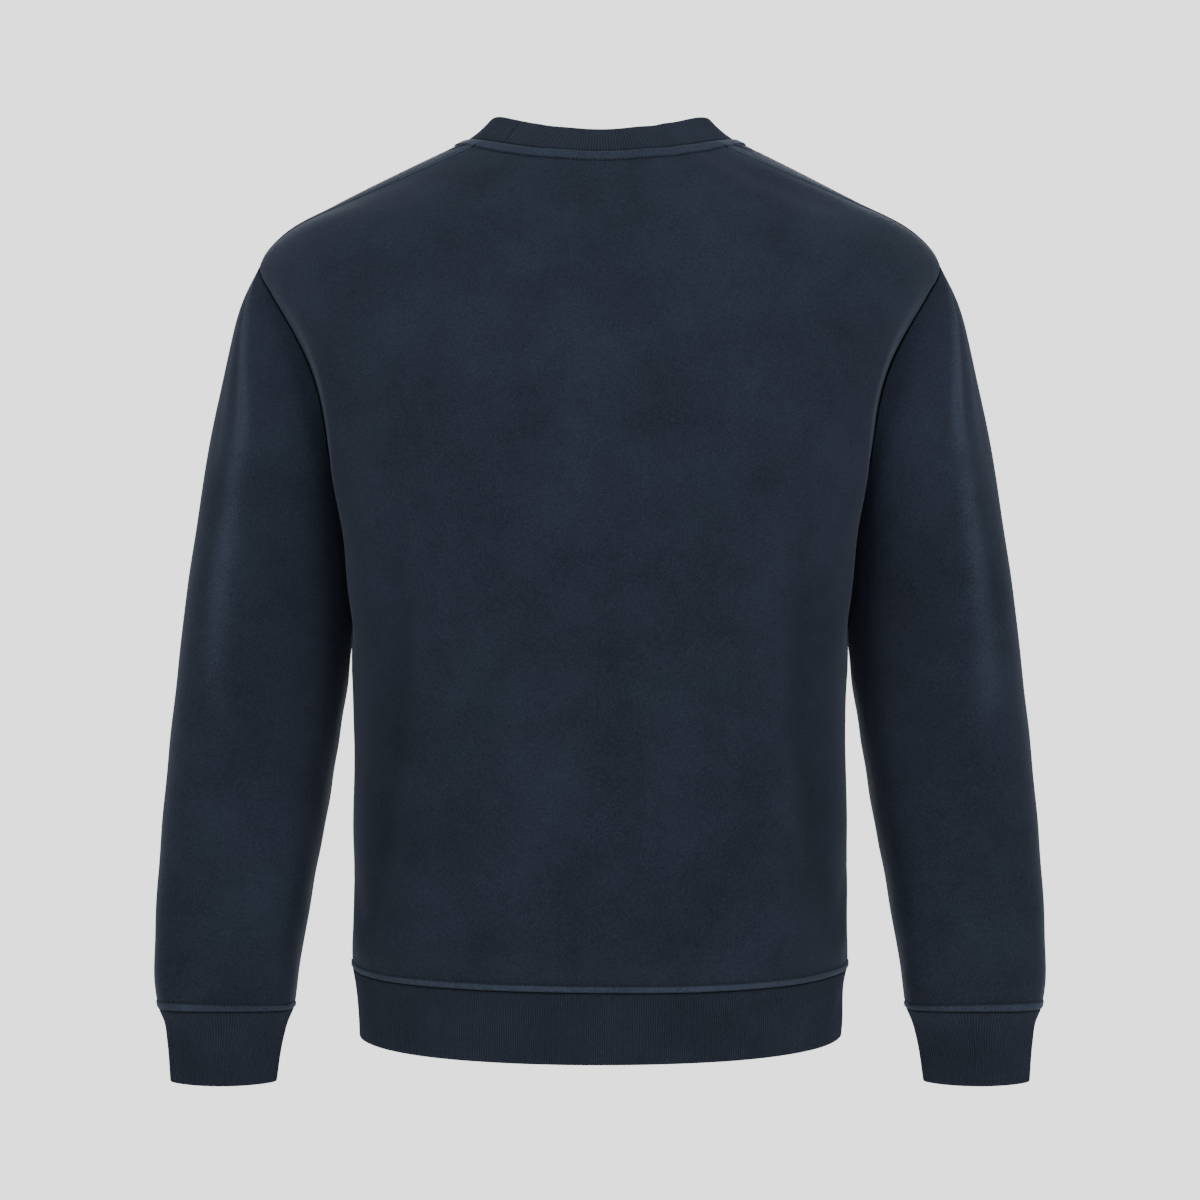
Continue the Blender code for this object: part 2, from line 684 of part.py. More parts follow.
class Band:
    """A folded rib band: a ribbed outer face and a plain inner one, from a seam to its free edge."""

    def __init__(self, ribs, levels, edge, face):
        self.ribs = ribs
        self.levels = np.array(levels)
        self.edge = edge
        self.face = face

    def points(self, columns, depth, ribbed):
        """Points of one face, with the first column again at the end."""
        where = np.linspace(0, 1, columns + 1)
        grid_where, grid_level = np.meshgrid(where, self.levels)
        face = self.face(grid_where, grid_level)
        after = self.face(grid_where + SHARE_PROBE, grid_level)
        before = self.face(grid_where - SHARE_PROBE, grid_level)
        start = self.face(grid_where, np.zeros_like(grid_level))
        end = self.face(grid_where, np.ones_like(grid_level))
        out = unit(np.cross(after - before, end - start))
        if np.sum(out[..., :2] * (face[..., :2] - face[..., :2].mean(axis=(0, 1)))) < 0:
            out = -out
        out[0] = unit(self.edge.at(where)[1])
        lift = np.full(face.shape[:2], -depth)
        if ribbed:
            lift[:, 1::2] -= RIB_HEIGHT
        return face + out * lift[..., None]

    def build(self, name, material, place=lambda points: points):
        """Makes the band's solid. place moves its points, for instance to the other side."""
        outer = place(self.points(self.ribs * 2, 0.0, True))
        inner = place(self.points(self.ribs * 2 // INNER_SHARE, RIB_THICKNESS, False))
        mesh = bmesh.new()
        rims = []
        for points in (outer, inner):
            made = add_grid(mesh, points)
            bmesh.ops.remove_doubles(mesh, verts=made, dist=1e-6)
            rims.append(set(e for e in mesh.edges if e.is_boundary))
        outer_rims = split_loops([e for e in rims[0] if e.is_valid])
        inner_rims = split_loops([e for e in mesh.edges if e.is_boundary and e not in rims[0]])
        for one in outer_rims:
            other = min(inner_rims, key=lambda loop: gap_between(one, loop))
            bmesh.ops.bridge_loops(mesh, edges=one + other)
        return finish(mesh, name, material)


def split_loops(edges):
    """The closed loops that a set of boundary edges forms."""
    left = set(edges)
    loops = []
    while left:
        stack = [left.pop()]
        loop = []
        while stack:
            edge = stack.pop()
            loop.append(edge)
            for vert in edge.verts:
                for other in vert.link_edges:
                    if other in left:
                        left.remove(other)
                        stack.append(other)
        loops.append(loop)
    return loops


def gap_between(one, other):
    """How far the first point of one loop is from the nearest point of another."""
    start = one[0].verts[0].co
    return min((start - edge.verts[0].co).length for edge in other)


def add_grid(mesh, points):
    """Adds a grid of faces whose points are given row by row, and returns its vertices."""
    rows, columns = points.shape[0] - 1, points.shape[1] - 1
    made = bmesh.ops.create_grid(mesh, x_segments=columns, y_segments=rows, size=0.5)["verts"]
    for vert in made:
        i = round((vert.co.x + 0.5) * columns)
        j = round((vert.co.y + 0.5) * rows)
        vert.co = points[j, i]
    return made


def solid_wall(name, inner, outer, material, closed):
    """Makes a wall: a grid on its inner points, extruded out to its outer points."""
    mesh = bmesh.new()
    rows, columns = inner.shape[0], inner.shape[1]
    if closed:
        inner = np.concatenate([inner, inner[:, :1]], axis=1)
        outer = np.concatenate([outer, outer[:, :1]], axis=1)
    place = mesh.verts.layers.int.new("place")
    made = bmesh.ops.create_grid(
        mesh, x_segments=inner.shape[1] - 1, y_segments=rows - 1, size=0.5
    )["verts"]
    for vert in made:
        i = round((vert.co.x + 0.5) * (inner.shape[1] - 1))
        j = round((vert.co.y + 0.5) * (rows - 1))
        vert[place] = j * columns + i % columns
        vert.co = inner[j, i]
    if closed:
        bmesh.ops.remove_doubles(mesh, verts=made, dist=1e-6)
    raised = bmesh.ops.extrude_face_region(mesh, geom=mesh.faces[:], use_keep_orig=True)["geom"]
    for item in raised:
        if isinstance(item, bmesh.types.BMVert):
            item.co = outer[item[place] // columns, item[place] % columns]
    return finish(mesh, name, material)


def finish(mesh, name, material):
    """Turns the faces outwards, shades them smooth and makes the object."""
    bmesh.ops.triangulate(mesh, faces=mesh.faces[:])
    bmesh.ops.recalc_face_normals(mesh, faces=mesh.faces[:])
    data = bpy.data.meshes.new(name)
    mesh.to_mesh(data)
    mesh.free()
    data.shade_smooth()
    data.set_sharp_from_angle(angle=math.radians(50))
    data.materials.append(material)
    thing = bpy.data.objects.new(name, data)
    bpy.context.scene.collection.objects.link(thing)
    return thing


def cloth(name, colour, roughness):
    """A plain cloth material."""
    material = bpy.data.materials.new(name)
    material.use_nodes = True
    shader = material.node_tree.nodes["Principled BSDF"]
    shader.inputs["Base Color"].default_value = (*colour, 1)
    shader.inputs["Roughness"].default_value = roughness
    shader.inputs["Metallic"].default_value = 0.0
    return material


def mirrored(points):
    """The same points on the wearer's other side."""
    return points * np.array([-1.0, 1.0, 1.0])


def neck_face(edge):
    """The collar's outer face over the neck seam."""
    centre = np.array([0.0, edge.points[:, 1].mean(), 0.0])

    def face(where, level):
        base, _, turn = edge.at(where)
        turned = np.abs(degrees_apart(turn))
        flat = unit((centre - base) * np.array([1.0, 1.0, 0.0]))
        up = np.array([0.0, 0.0, 1.0])
        inward = COLLAR.read("inward", turned)[..., None] * MM
        rise = COLLAR.read("rise", turned)[..., None] * MM
        top = flat * inward + up * rise
        bulge = COLLAR.read("bulge", turned)[..., None] * MM * (4 * level * (1 - level))[..., None]
        return base + unit(top) * SEAM_GAP / 2 + top * level[..., None] - flat * bulge

    return face


def hanging_face(edge, oval, bottom):
    """A rib's outer face below an edge, which it leaves to follow the ovals of its own sections."""

    def face(where, level):
        base, _, angle = edge.at(where)
        x, y = oval(angle, level)
        x_top, y_top = oval(angle, np.zeros_like(level))
        fade = (1 - level) ** 2
        top = base[..., 2] - SEAM_GAP / 2
        z = top + (bottom(angle) - top) * level
        return np.stack([x + (base[..., 0] - x_top) * fade, y + (base[..., 1] - y_top) * fade, z], axis=-1)

    return face


def hem_oval(angle, level):
    """A level section of the hem rib."""
    return level_ring(HEM, level, angle)


def hem_bottom(angle):
    """Height of the hem's free edge."""
    return HEM_BOTTOM_SIDE - HEM_BOTTOM_SAG * np.abs(np.cos(np.radians(angle))) ** 1.4


def cuff_oval(turn, level):
    """A level section of the left cuff."""
    outer, inner, back, front = (CUFF.read(name, level) * MM for name in CUFF.columns[1:])
    x = (outer + inner) / 2 + (outer - inner) / 2 * np.cos(np.radians(turn))
    y = (back + front) / 2 + (back - front) / 2 * np.sin(np.radians(turn))
    return x, y


def cuff_bottom(turn):
    """Height of a cuff's free edge."""
    return CUFF_BOTTOM - CUFF_SAG * np.sin(np.radians(turn)) ** 2


def round_both(behind, before):
    """Values along the back's edge and then the front's, from the centre back over the wearer's left."""
    middle = len(behind) // 2
    return np.concatenate([behind[: middle + 1][::-1], before[1:], behind[middle:-1][::-1]])


def panel_edge(back, front, row, columns, angles):
    """A closed edge along one row of the back and of the front."""
    faces = []
    outs = []
    for panel in (back, front):
        angle = panel.angle[row][columns]
        height = panel.height[row][columns]
        faces.append(body(angle, height))
        outs.append(body_outward(body, angle, height))
    return Edge(round_both(*faces), round_both(*outs), angles)


def neck_edge(back, front):
    """The whole neck seam."""
    behind = np.linspace(0, NECK_SHOULDER_AT, BACK_NECK_STEPS + 1)
    before = np.linspace(NECK_SHOULDER_AT, 360 - NECK_SHOULDER_AT, FRONT_NECK_STEPS * 2 + 1)
    turns = np.concatenate([behind, before[1:], 360 - behind[:-1][::-1]])
    return panel_edge(back, front, -1, slice(SHOULDER_STEPS, -SHOULDER_STEPS), turns)


def hem_edge(back, front):
    """The whole hem seam."""
    behind = back.angle[0]
    middle = len(behind) // 2
    angles = [behind[: middle + 1][::-1], front.angle[0][1:], 360 + behind[middle:-1][::-1]]
    return panel_edge(back, front, 0, slice(None), np.concatenate(angles))


def sleeve_end():
    """The lower edge of the left sleeve."""
    turns = np.append(sleeve_turns(), 360.0)
    share = np.ones(len(turns))
    return Edge(sleeve(turns, share), sleeve_outward(turns, share), turns)


def build_sweatshirt():
    """Builds the eight pieces, all held by an empty at the origin."""
    fleece = cloth("navy_fleece", NAVY_FLEECE, 0.9)
    ribbing = cloth("navy_rib", NAVY_RIB, 0.9)
    back = Panel(front=False)
    front = Panel(front=True)
    pieces = []
    for name, panel in (("back_panel", back), ("front_panel", front)):
        pieces.append(solid_wall(name, *panel.wall(), fleece, closed=False))
    inner, outer = sleeve_wall()
    end = sleeve_end()
    cuff = Band(RIBS_ON_CUFF, (0, 0.3, 1), end, hanging_face(end, cuff_oval, cuff_bottom))
    for side, place in (("left", lambda points: points), ("right", mirrored)):
        pieces.append(solid_wall(f"sleeve_{side}", place(inner), place(outer), fleece, closed=True))
        pieces.append(cuff.build(f"cuff_{side}", ribbing, place))
    edge = neck_edge(back, front)
    collar = Band(RIBS_ON_NECK, (0, 0.5, 1), edge, neck_face(edge))
    pieces.append(collar.build("neck_rib", ribbing))
    edge = hem_edge(back, front)
    hem = Band(RIBS_ON_HEM, (0, 0.25, 1), edge, hanging_face(edge, hem_oval, hem_bottom))
    pieces.append(hem.build("hem_rib", ribbing))
    garment = bpy.data.objects.new("sweatshirt", None)
    bpy.context.scene.collection.objects.link(garment)
    for piece in pieces:
        piece.parent = garment


def main():
    """Clears the scene and builds the sweatshirt."""
    for thing in list(bpy.data.objects):
        bpy.data.objects.remove(thing)
    build_sweatshirt()


main()
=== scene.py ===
"""Looks of a crewneck sweatshirt in washed navy fleece, filled out as if worn, seen from behind.

Metres, +Z up, the front faces -Y and the wearer's left is +X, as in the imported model. Every piece of cloth
that a maker cuts is one object here: a thin shell on the form of its solid, with its creases, seams, raised
seam bands and ribs. The stitches that lie on a piece are an object beside it. Angles go round the body in
degrees from the centre back (0) over the wearer's left side (90) to the centre front (180), and round a
sleeve from its outer side (0) over its back (90) to the armpit (180). Tables hold millimetres and are read
smoothly between their rows. A piece's marks are numbers at its vertices that the materials read.
"""

import logging
import math
from collections.abc import Callable
from dataclasses import dataclass, field
from enum import Enum
from functools import cached_property

import bmesh
import bpy
import numpy as np
from mathutils import Matrix, Vector

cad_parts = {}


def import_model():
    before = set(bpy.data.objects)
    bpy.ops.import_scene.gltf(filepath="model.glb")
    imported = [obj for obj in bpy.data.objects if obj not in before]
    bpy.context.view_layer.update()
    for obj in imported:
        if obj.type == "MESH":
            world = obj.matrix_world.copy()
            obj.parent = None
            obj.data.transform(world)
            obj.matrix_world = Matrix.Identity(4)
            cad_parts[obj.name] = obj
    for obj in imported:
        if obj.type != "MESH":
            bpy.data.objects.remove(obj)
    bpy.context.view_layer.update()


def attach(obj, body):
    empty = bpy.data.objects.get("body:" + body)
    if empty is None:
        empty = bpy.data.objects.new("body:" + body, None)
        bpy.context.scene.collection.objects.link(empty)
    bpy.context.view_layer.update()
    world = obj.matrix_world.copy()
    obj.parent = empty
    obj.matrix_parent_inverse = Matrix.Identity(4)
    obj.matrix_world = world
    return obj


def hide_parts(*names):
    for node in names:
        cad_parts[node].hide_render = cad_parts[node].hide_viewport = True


log = logging.getLogger("sweatshirt")

MM = 0.001
SEAM_GAP = 0.3 * MM
BODY_RADIUS = 140 * MM
ARM_RADIUS = 60 * MM
ARM_LENGTH = 500 * MM
UNDER_ARM_RADIUS = 50 * MM
GATHER_START = 7 * MM
FAR_AWAY = 1.0
MIRRORED = (-1.0, 1.0, 1.0)

Array = np.ndarray
Pair = tuple[np.ndarray, np.ndarray]
Materials = list[bpy.types.Material]


class Side(Enum):
    """Which of the wearer's sides a piece is on."""

    LEFT = "left"
    RIGHT = "right"


class Table:
    """Rows of sizes in millimetres with named columns, ordered by the first column."""

    def __init__(self, columns: str, rows: list[tuple[float, ...]]) -> None:
        """Keeps the rows.

        Args:
            columns: names of the columns, parted by spaces.
            rows: one tuple for each row.
        """
        self.columns = columns.split()
        data = np.array(rows, float)
        self.data = data[np.argsort(data[:, 0])]

    def read(self, column: str, key: Array) -> Array:
        """The column at key, on a smooth curve through the rows, straight on past the ends.

        Args:
            column: name of the column to read.
            key: values of the first column.

        Returns:
            The column's values at those keys.
        """
        xs = self.data[:, 0]
        ys = self.data[:, self.columns.index(column)]
        step = np.diff(xs)
        slope = np.diff(ys) / step
        tangent = np.empty_like(ys)
        tangent[0] = slope[0]
        tangent[-1] = slope[-1]
        tangent[1:-1] = (slope[:-1] * step[1:] + slope[1:] * step[:-1]) / (step[:-1] + step[1:])
        inside = np.clip(key, xs[0], xs[-1])
        i = np.clip(np.searchsorted(xs, inside) - 1, 0, len(xs) - 2)
        t = (inside - xs[i]) / step[i]
        value = ys[i] * (1 + 2 * t) * (1 - t) ** 2 + ys[i + 1] * t * t * (3 - 2 * t)
        value = value + step[i] * (tangent[i] * t * (1 - t) ** 2 - tangent[i + 1] * t * t * (1 - t))
        below = tangent[0] * np.minimum(key - xs[0], 0)
        above = tangent[-1] * np.maximum(key - xs[-1], 0)
        return value + below + above


BODY_SIZES = Table(
    "height half_width back front side square",
    [
        (4, 93.5, 56, -64, -5, 0.000),
        (0, 103.0, 58, -66, -5, 0.000),
        (-5, 113.6, 61, -69, -5, 0.000),
        (-14, 132.4, 65, -73, -6, 0.000),
        (-32, 168.6, 76, -83, -7, 0.000),
        (-50, 204.3, 86, -93, -8, 0.004),
        (-64, 231.6, 93, -100, -9, 0.008),
        (-78, 248.6, 98, -107, -9, 0.012),
        (-92.5, 258.6, 103, -113, -10, 0.016),
        (-117, 255.5, 110, -122, -10, 0.022),
        (-150, 246.4, 117, -131, -10, 0.028),
        (-200, 232.6, 123, -140, -10, 0.034),
        (-250, 219.0, 125, -143, -9, 0.036),
        (-297, 203.2, 124, -142, -9, 0.036),
        (-340, 197.6, 121, -139, -8, 0.036),
        (-386, 190.2, 118, -135, -8, 0.036),
        (-450, 187.0, 114, -131, -8, 0.036),
        (-520, 188.3, 113, -130, -8, 0.034),
        (-580, 186.4, 112, -128, -8, 0.032),
        (-612, 188.4, 110, -124, -8, 0.028),
        (-627, 188.2, 105, -116, -8, 0.022),
        (-640, 186.5, 103, -112, -8, 0.020),
    ],
)
SLEEVE_SIZES = Table(
    "share outer_x outer_z inner_x inner_z back front",
    [
        (0.00, 262.0, -92.5, 192.6, -297.0, 38, -58),
        (0.05, 274.4, -121.0, 192.6, -312.0, 44, -70),
        (0.12, 284.6, -161.0, 191.4, -337.0, 47, -84),
        (0.20, 294.2, -206.0, 190.0, -368.0, 47, -92),
        (0.30, 304.2, -263.0, 192.4, -402.0, 45, -95),
        (0.40, 312.7, -320.0, 198.7, -443.0, 43, -95),
        (0.50, 320.0, -377.0, 204.5, -479.0, 39, -92),
        (0.60, 326.6, -434.0, 210.4, -516.0, 34, -87),
        (0.70, 332.4, -491.0, 217.3, -552.0, 28, -81),
        (0.80, 337.5, -548.0, 223.7, -589.0, 21, -75),
        (0.90, 340.9, -605.0, 230.0, -625.0, 14, -68),
        (0.96, 341.3, -639.0, 233.0, -647.0, 8, -62),
        (1.00, 338.8, -661.0, 235.0, -661.0, 4, -57),
    ],
)
CUFF_SIZES = Table(
    "share outer inner back front",
    [
        (0.00, 338.6, 235.2, 4.0, -57.0),
        (0.18, 334.4, 239.6, -1.0, -52.0),
        (0.45, 332.2, 243.5, -3.5, -49.5),
        (1.00, 329.8, 248.2, -6.0, -47.0),
    ],
)
HEM_SIZES = Table(
    "share half_width back front side square",
    [
        (0.00, 188.0, 104.0, -114.0, -8, 0.020),
        (0.25, 185.6, 101.0, -109.0, -8, 0.022),
        (1.00, 183.4, 99.0, -106.0, -8, 0.024),
    ],
)
COLLAR_SIZES = Table(
    "angle inward rise bulge",
    [
        (0, 15.5, 19.5, 1.0),
        (45, 16.8, 19.2, 0.6),
        (63, 17.6, 19.2, 0.0),
        (77, 18.4, 17.0, -1.2),
        (90, 18.6, 13.4, -1.8),
        (105, 19.0, 14.8, -1.4),
        (135, 19.0, 17.5, 0.4),
        (180, 13.0, 20.5, 1.0),
    ],
)
TUCK_SIZES = Table(
    "height depth",
    [
        (-402, 0.0),
        (-386, 1.5),
        (-368, 5.0),
        (-337, 9.0),
        (-312, 11.0),
        (-290, 11.0),
        (-260, 10.5),
        (-170, 10.0),
        (-140, 5.0),
        (-108, 0.0),
    ],
)


def unit(vectors: Array) -> Array:
    """Vectors of length one."""
    return vectors / np.maximum(np.linalg.norm(vectors, axis=-1, keepdims=True), 1e-12)


def soft_step(t: Array) -> Array:
    """Rises smoothly from 0 to 1 as t does, and stays level outside that."""
    t = np.clip(t, 0, 1)
    return t * t * (3 - 2 * t)


def hill(distance: Array, width: float) -> Array:
    """A smooth hill of height one at distance 0, as wide as width says."""
    return np.exp(-((distance / width) ** 2))


def degrees_apart(angle: Array) -> Array:
    """An angle difference brought to -180 to 180 degrees."""
    return (angle + 180) % 360 - 180


def level_ring(table: Table, key: Array, angle: Array) -> Pair:
    """Points of a level section.

    Args:
        table: sizes with half_width, back, front, side and square.
        key: where in the table each section is read.
        angle: angle round the section, in degrees from the centre back.

    Returns:
        x and y of the points, in metres.
    """
    square = table.read("square", key)
    sine = np.sin(np.radians(angle))
    cosine = np.cos(np.radians(angle))
    across = (sine + square * np.sin(np.radians(3 * angle))) / (1 - square)
    deep = (cosine - square * np.cos(np.radians(3 * angle))) / (1 - square)
    side = table.read("side", key)
    depth = np.where(cosine > 0, table.read("back", key) - side, side - table.read("front", key))
    return table.read("half_width", key) * across * MM, (side + depth * deep) * MM


@dataclass(frozen=True)
class Folds:
    """Soft folds of one piece.

    Each row of the table is an angle and a place along the piece at both ends, then the height in
    millimetres (less than 0 is a trough), the width in millimetres and how many degrees its middle is
    bent aside. A fold widens from its first end to its last. The reach is what one unit along the piece
    is in metres, and the radius is the piece's own.
    """

    rows: tuple[tuple[float, ...], ...]
    reach: float
    radius: float
    end: float = 0.08
    fullness: float = 0.8
    first_width: float = 0.75
    widening: float = 0.5

    def height(self, along: Array, across: Array) -> Array:
        """The height that the folds add, in metres.

        Args:
            along: place along the piece, in the units of the table.
            across: angle round the piece, in degrees.

        Returns:
            The height over the plain form.
        """
        total = np.zeros(np.broadcast(along, across).shape)
        for angle_a, start, angle_b, end, height, width, bend in self.rows:
            t = np.clip((along - start) / (end - start), 0, 1)
            middle = angle_a + degrees_apart(angle_b - angle_a) * t + bend * 4 * t * (1 - t)
            aside = np.radians(degrees_apart(across - middle)) * self.radius
            beyond = (along - (start + (end - start) * t)) * self.reach
            fade = np.sin(math.pi * (self.end + (1 - 2 * self.end) * t)) ** self.fullness
            wide = width * MM * (self.first_width + self.widening * t)
            total = total + height * MM * fade * np.exp(-(aside**2 + beyond**2) / wide**2)
        return total


def ripple(x: Array, y: Array, length: float, seed: int) -> Array:
    """A calm uneven wave over two lengths, between about -1 and 1.

    Args:
        x: first length, in metres.
        y: second length, in metres.
        length: mean wave length, in metres.
        seed: which of the many waves it is.

    Returns:
        The wave's height at each place.
    """
    random = np.random.default_rng(seed)
    total = np.zeros(np.broadcast(x, y).shape)
    waves = 7
    for _ in range(waves):
        turn = random.uniform(0, 2 * math.pi)
        scale = 2 * math.pi / (length * random.uniform(0.7, 1.6))
        phase = random.uniform(0, 2 * math.pi)
        total = total + np.sin((x * math.cos(turn) + y * math.sin(turn)) * scale + phase)
    return total / waves**0.5


@dataclass(frozen=True)
class Gathers:
    """The small upright gathers of the cloth where it is sewn to a shorter rib band."""

    height: float
    length: float
    sway: float
    sway_length: float
    reach: float
    seed: int

    def lift(self, place: Array, seam: Array) -> Array:
        """The height that the gathers add.

        Args:
            place: how far along the seam each point lies, in metres.
            seam: distance from the seam, in metres.

        Returns:
            The height over the plain form.
        """
        sway = self.sway * ripple(place, place * 0, self.sway_length, self.seed)
        wave = self.height * np.sin(place / self.length + sway)
        return wave * np.exp(-np.maximum(seam, 0) / self.reach) * soft_step(seam / GATHER_START)


@dataclass
class Torso:
    """The body as a surface, by the angle on its cloth and the height."""

    armhole_top: float = -92.5 * MM
    armhole_bottom: float = -297.0 * MM
    bow_back: float = 22.0
    bow_front: float = 28.0
    roundness: float = 0.6
    shoulder_back: float = 43.0
    neck_half_width: float = 103.0 * MM
    neck_drop_back: float = 16.0 * MM
    neck_drop_front: float = 75.0 * MM
    neck_front_roundness: float = 1.5
    hem_seam_side: float = -626.5 * MM
    hem_seam_sag: float = 9.5 * MM
    hem_seam_wave: float = 0.8 * MM
    tuck_reach: float = 29.0 * MM
    trough_depth: float = 3.0 * MM
    tuck_floor: float = 12.0 * MM
    flank_start: float = 38.0
    flank_rise: float = 22.0
    flank_end: float = 98.0
    flank_fall: float = 14.0
    flank_drop: float = 90 * MM
    radius: float = BODY_RADIUS
    turn_probe: float = 0.05
    probe: float = 1e-4
    folds: Folds = Folds(
        (
            (30, -230, 50, -600, 2.6, 18, -3.0),
            (43, -280, 59, -596, -3.2, 17, -4.0),
            (-24, -150, -46, -600, 2.8, 19, 5.0),
            (-44, -300, -58, -596, -3.2, 18, 2.0),
            (12, -480, 30, -600, 1.2, 24, 0.0),
            (-15, -520, -34, -604, 1.2, 22, 0.0),
            (84, -560, 70, -622, 2.0, 16, 0.0),
            (-86, -550, -70, -620, 2.2, 16, 0.0),
            (142, -170, 150, -470, 2.4, 28, 0.0),
            (-138, -190, -146, -520, 2.2, 26, 0.0),
            (118, -320, 124, -560, -2.6, 24, 0.0),
            (-120, -330, -122, -540, -2.4, 22, 0.0),
            (166, -500, 150, -604, 1.4, 24, 0.0),
        ),
        MM,
        BODY_RADIUS,
    )
    calm_height: float = 0.35 * MM
    calm_length: float = 85 * MM
    gathers: Gathers = Gathers(0.32 * MM, 7.5 * MM, 2.2, 60 * MM, 14 * MM, 8)

    def hollow(self, angle: Array, height: Array) -> Array:
        """How deep in a trough a place lies, from 0 to 1."""
        return np.clip(-self.folds.height(height / MM, angle) / self.trough_depth, 0, 1)

    def flank(self, angle: Array, height: Array) -> Array:
        """How far a place lies on the flank below the armholes, where the arm keeps light off.

        Args:
            angle: angle on the cloth.
            height: height of each place.

        Returns:
            Numbers from 0 to 1.
        """
        turned = np.abs(degrees_apart(angle))
        side = soft_step((turned - self.flank_start) / self.flank_rise)
        side = side * soft_step((self.flank_end - turned) / self.flank_fall)
        return side * soft_step((self.armhole_bottom - height) / self.flank_drop)

    def armhole_share(self, height: Array) -> Array:
        """How far up the armhole a height lies, from 0 at the armpit to 1 at the shoulder."""
        return np.clip((height - self.armhole_bottom) / (self.armhole_top - self.armhole_bottom), 0, 1)

    def armhole_angle(self, height: Array, bow: float) -> Array:
        """Angle of the armhole seam from the side line, for a bow in degrees."""
        share = self.armhole_share(height)
        return bow * (4 * share * (1 - share)) ** self.roundness

    def tuck(self, angle: Array, height: Array) -> Array:
        """How deep the arm presses the cloth in beside the armhole and on down the side below it.

        Args:
            angle: angle on the cloth.
            height: height of each place.

        Returns:
            Depths in metres.
        """
        turned = np.abs(degrees_apart(angle))
        climbed = (height - self.armhole_bottom) / self.tuck_floor - 1
        line = self.armhole_bottom + self.tuck_floor * (1 + np.logaddexp(0, climbed))
        behind = 90 - self.armhole_angle(line, self.bow_back) - turned
        before = turned - 90 - self.armhole_angle(line, self.bow_front)
        distance = np.radians(np.maximum(behind, before)) * self.radius
        near = (1 - np.clip(distance / self.tuck_reach, 0, 1) ** 2) ** 2
        lowest, highest = TUCK_SIZES.data[[0, -1], 0]
        depth = TUCK_SIZES.read("depth", np.clip(height / MM, lowest, highest)) * MM
        return np.maximum(depth, 0) * near

    def shoulder_turn(self, angle: Array, height: Array) -> Array:
        """How far the cloth is turned back over the shoulder, which puts its seam behind the ridge."""
        share = np.clip(height / self.armhole_top, 0, 1)
        return self.shoulder_back * (1 - share) * np.sin(np.radians(angle)) ** 2

    def cloth_angle(self, angle: Array, height: Array) -> Array:
        """The angle on the cloth of an angle from 0 to 180 in the body's level section.

        Args:
            angle: angle in the level section.
            height: height of each place.

        Returns:
            The angle on the cloth, which is turned back over the shoulder.
        """
        found = angle
        for _ in range(30):
            found = angle + self.shoulder_turn(found, height)
        return found

    def form(self, angle: Array, height: Array) -> Array:
        """Points of the body before its folds.

        Args:
            angle: angle on the cloth.
            height: height of each place.

        Returns:
            The points.
        """
        turned = degrees_apart(angle)
        level = turned - np.sign(turned) * self.shoulder_turn(turned, height)
        x, y = level_ring(BODY_SIZES, height / MM, level)
        return np.stack([x, y, np.broadcast_to(height, x.shape)], axis=-1)

    def outward_of(self, form: Callable[[Array, Array], Array], angle: Array, height: Array) -> Array:
        """The outward direction of a form that is given by angle and height.

        Args:
            form: points of the form by angle and height.
            angle: angle on the cloth.
            height: height of each place.

        Returns:
            Directions of length one.
        """
        turn = form(angle + self.turn_probe, height) - form(angle - self.turn_probe, height)
        climb = form(angle, height + self.probe) - form(angle, height - self.probe)
        return unit(np.cross(climb, turn))

    def detail(self, angle: Array, height: Array) -> Array:
        """Height of the small waves and gathers that only the looks have.

        Args:
            angle: angle on the cloth.
            height: height of each place.

        Returns:
            The height over the plain form.
        """
        place = np.radians(degrees_apart(angle)) * self.radius
        calm = self.calm_height * ripple(place, height, self.calm_length, 3)
        return calm + self.gathers.lift(place, height - self.hem_seam_height(angle))

    def point(self, angle: Array, height: Array) -> Array:
        """Points of the body's outer face, with its folds, its creases and the tuck along the armholes.

        Args:
            angle: angle on the cloth.
            height: height of each place.

        Returns:
            The points.
        """
        angle, height = np.broadcast_arrays(np.asarray(angle, float), np.asarray(height, float))
        lift = self.folds.height(height / MM, angle) + self.detail(angle, height)
        moved = lift - self.tuck(angle, height)
        return self.form(angle, height) + self.outward_of(self.form, angle, height) * moved[..., None]

    def outward(self, angle: Array, height: Array) -> Array:
        """The outward direction of the finished body."""
        return self.outward_of(self.point, angle, height)

    def slide(self, angle: Array, height: Array, move: Array) -> Pair:
        """New angle and height of points of the body that slide over it by small moves.

        Args:
            angle: angle of each point on the cloth.
            height: height of each point.
            move: how far each point moves, in metres.

        Returns:
            The new angles and heights.
        """
        turn = self.point(angle + self.turn_probe, height) - self.point(angle - self.turn_probe, height)
        climb = self.point(angle, height + self.probe) - self.point(angle, height - self.probe)
        turn = turn / (2 * self.turn_probe)
        climb = climb / (2 * self.probe)
        tt = (turn * turn).sum(-1)
        tc = (turn * climb).sum(-1)
        cc = (climb * climb).sum(-1)
        tm = (turn * move).sum(-1)
        cm = (climb * move).sum(-1)
        scale = tt * cc - tc * tc
        return angle + (tm * cc - cm * tc) / scale, height + (cm * tt - tm * tc) / scale

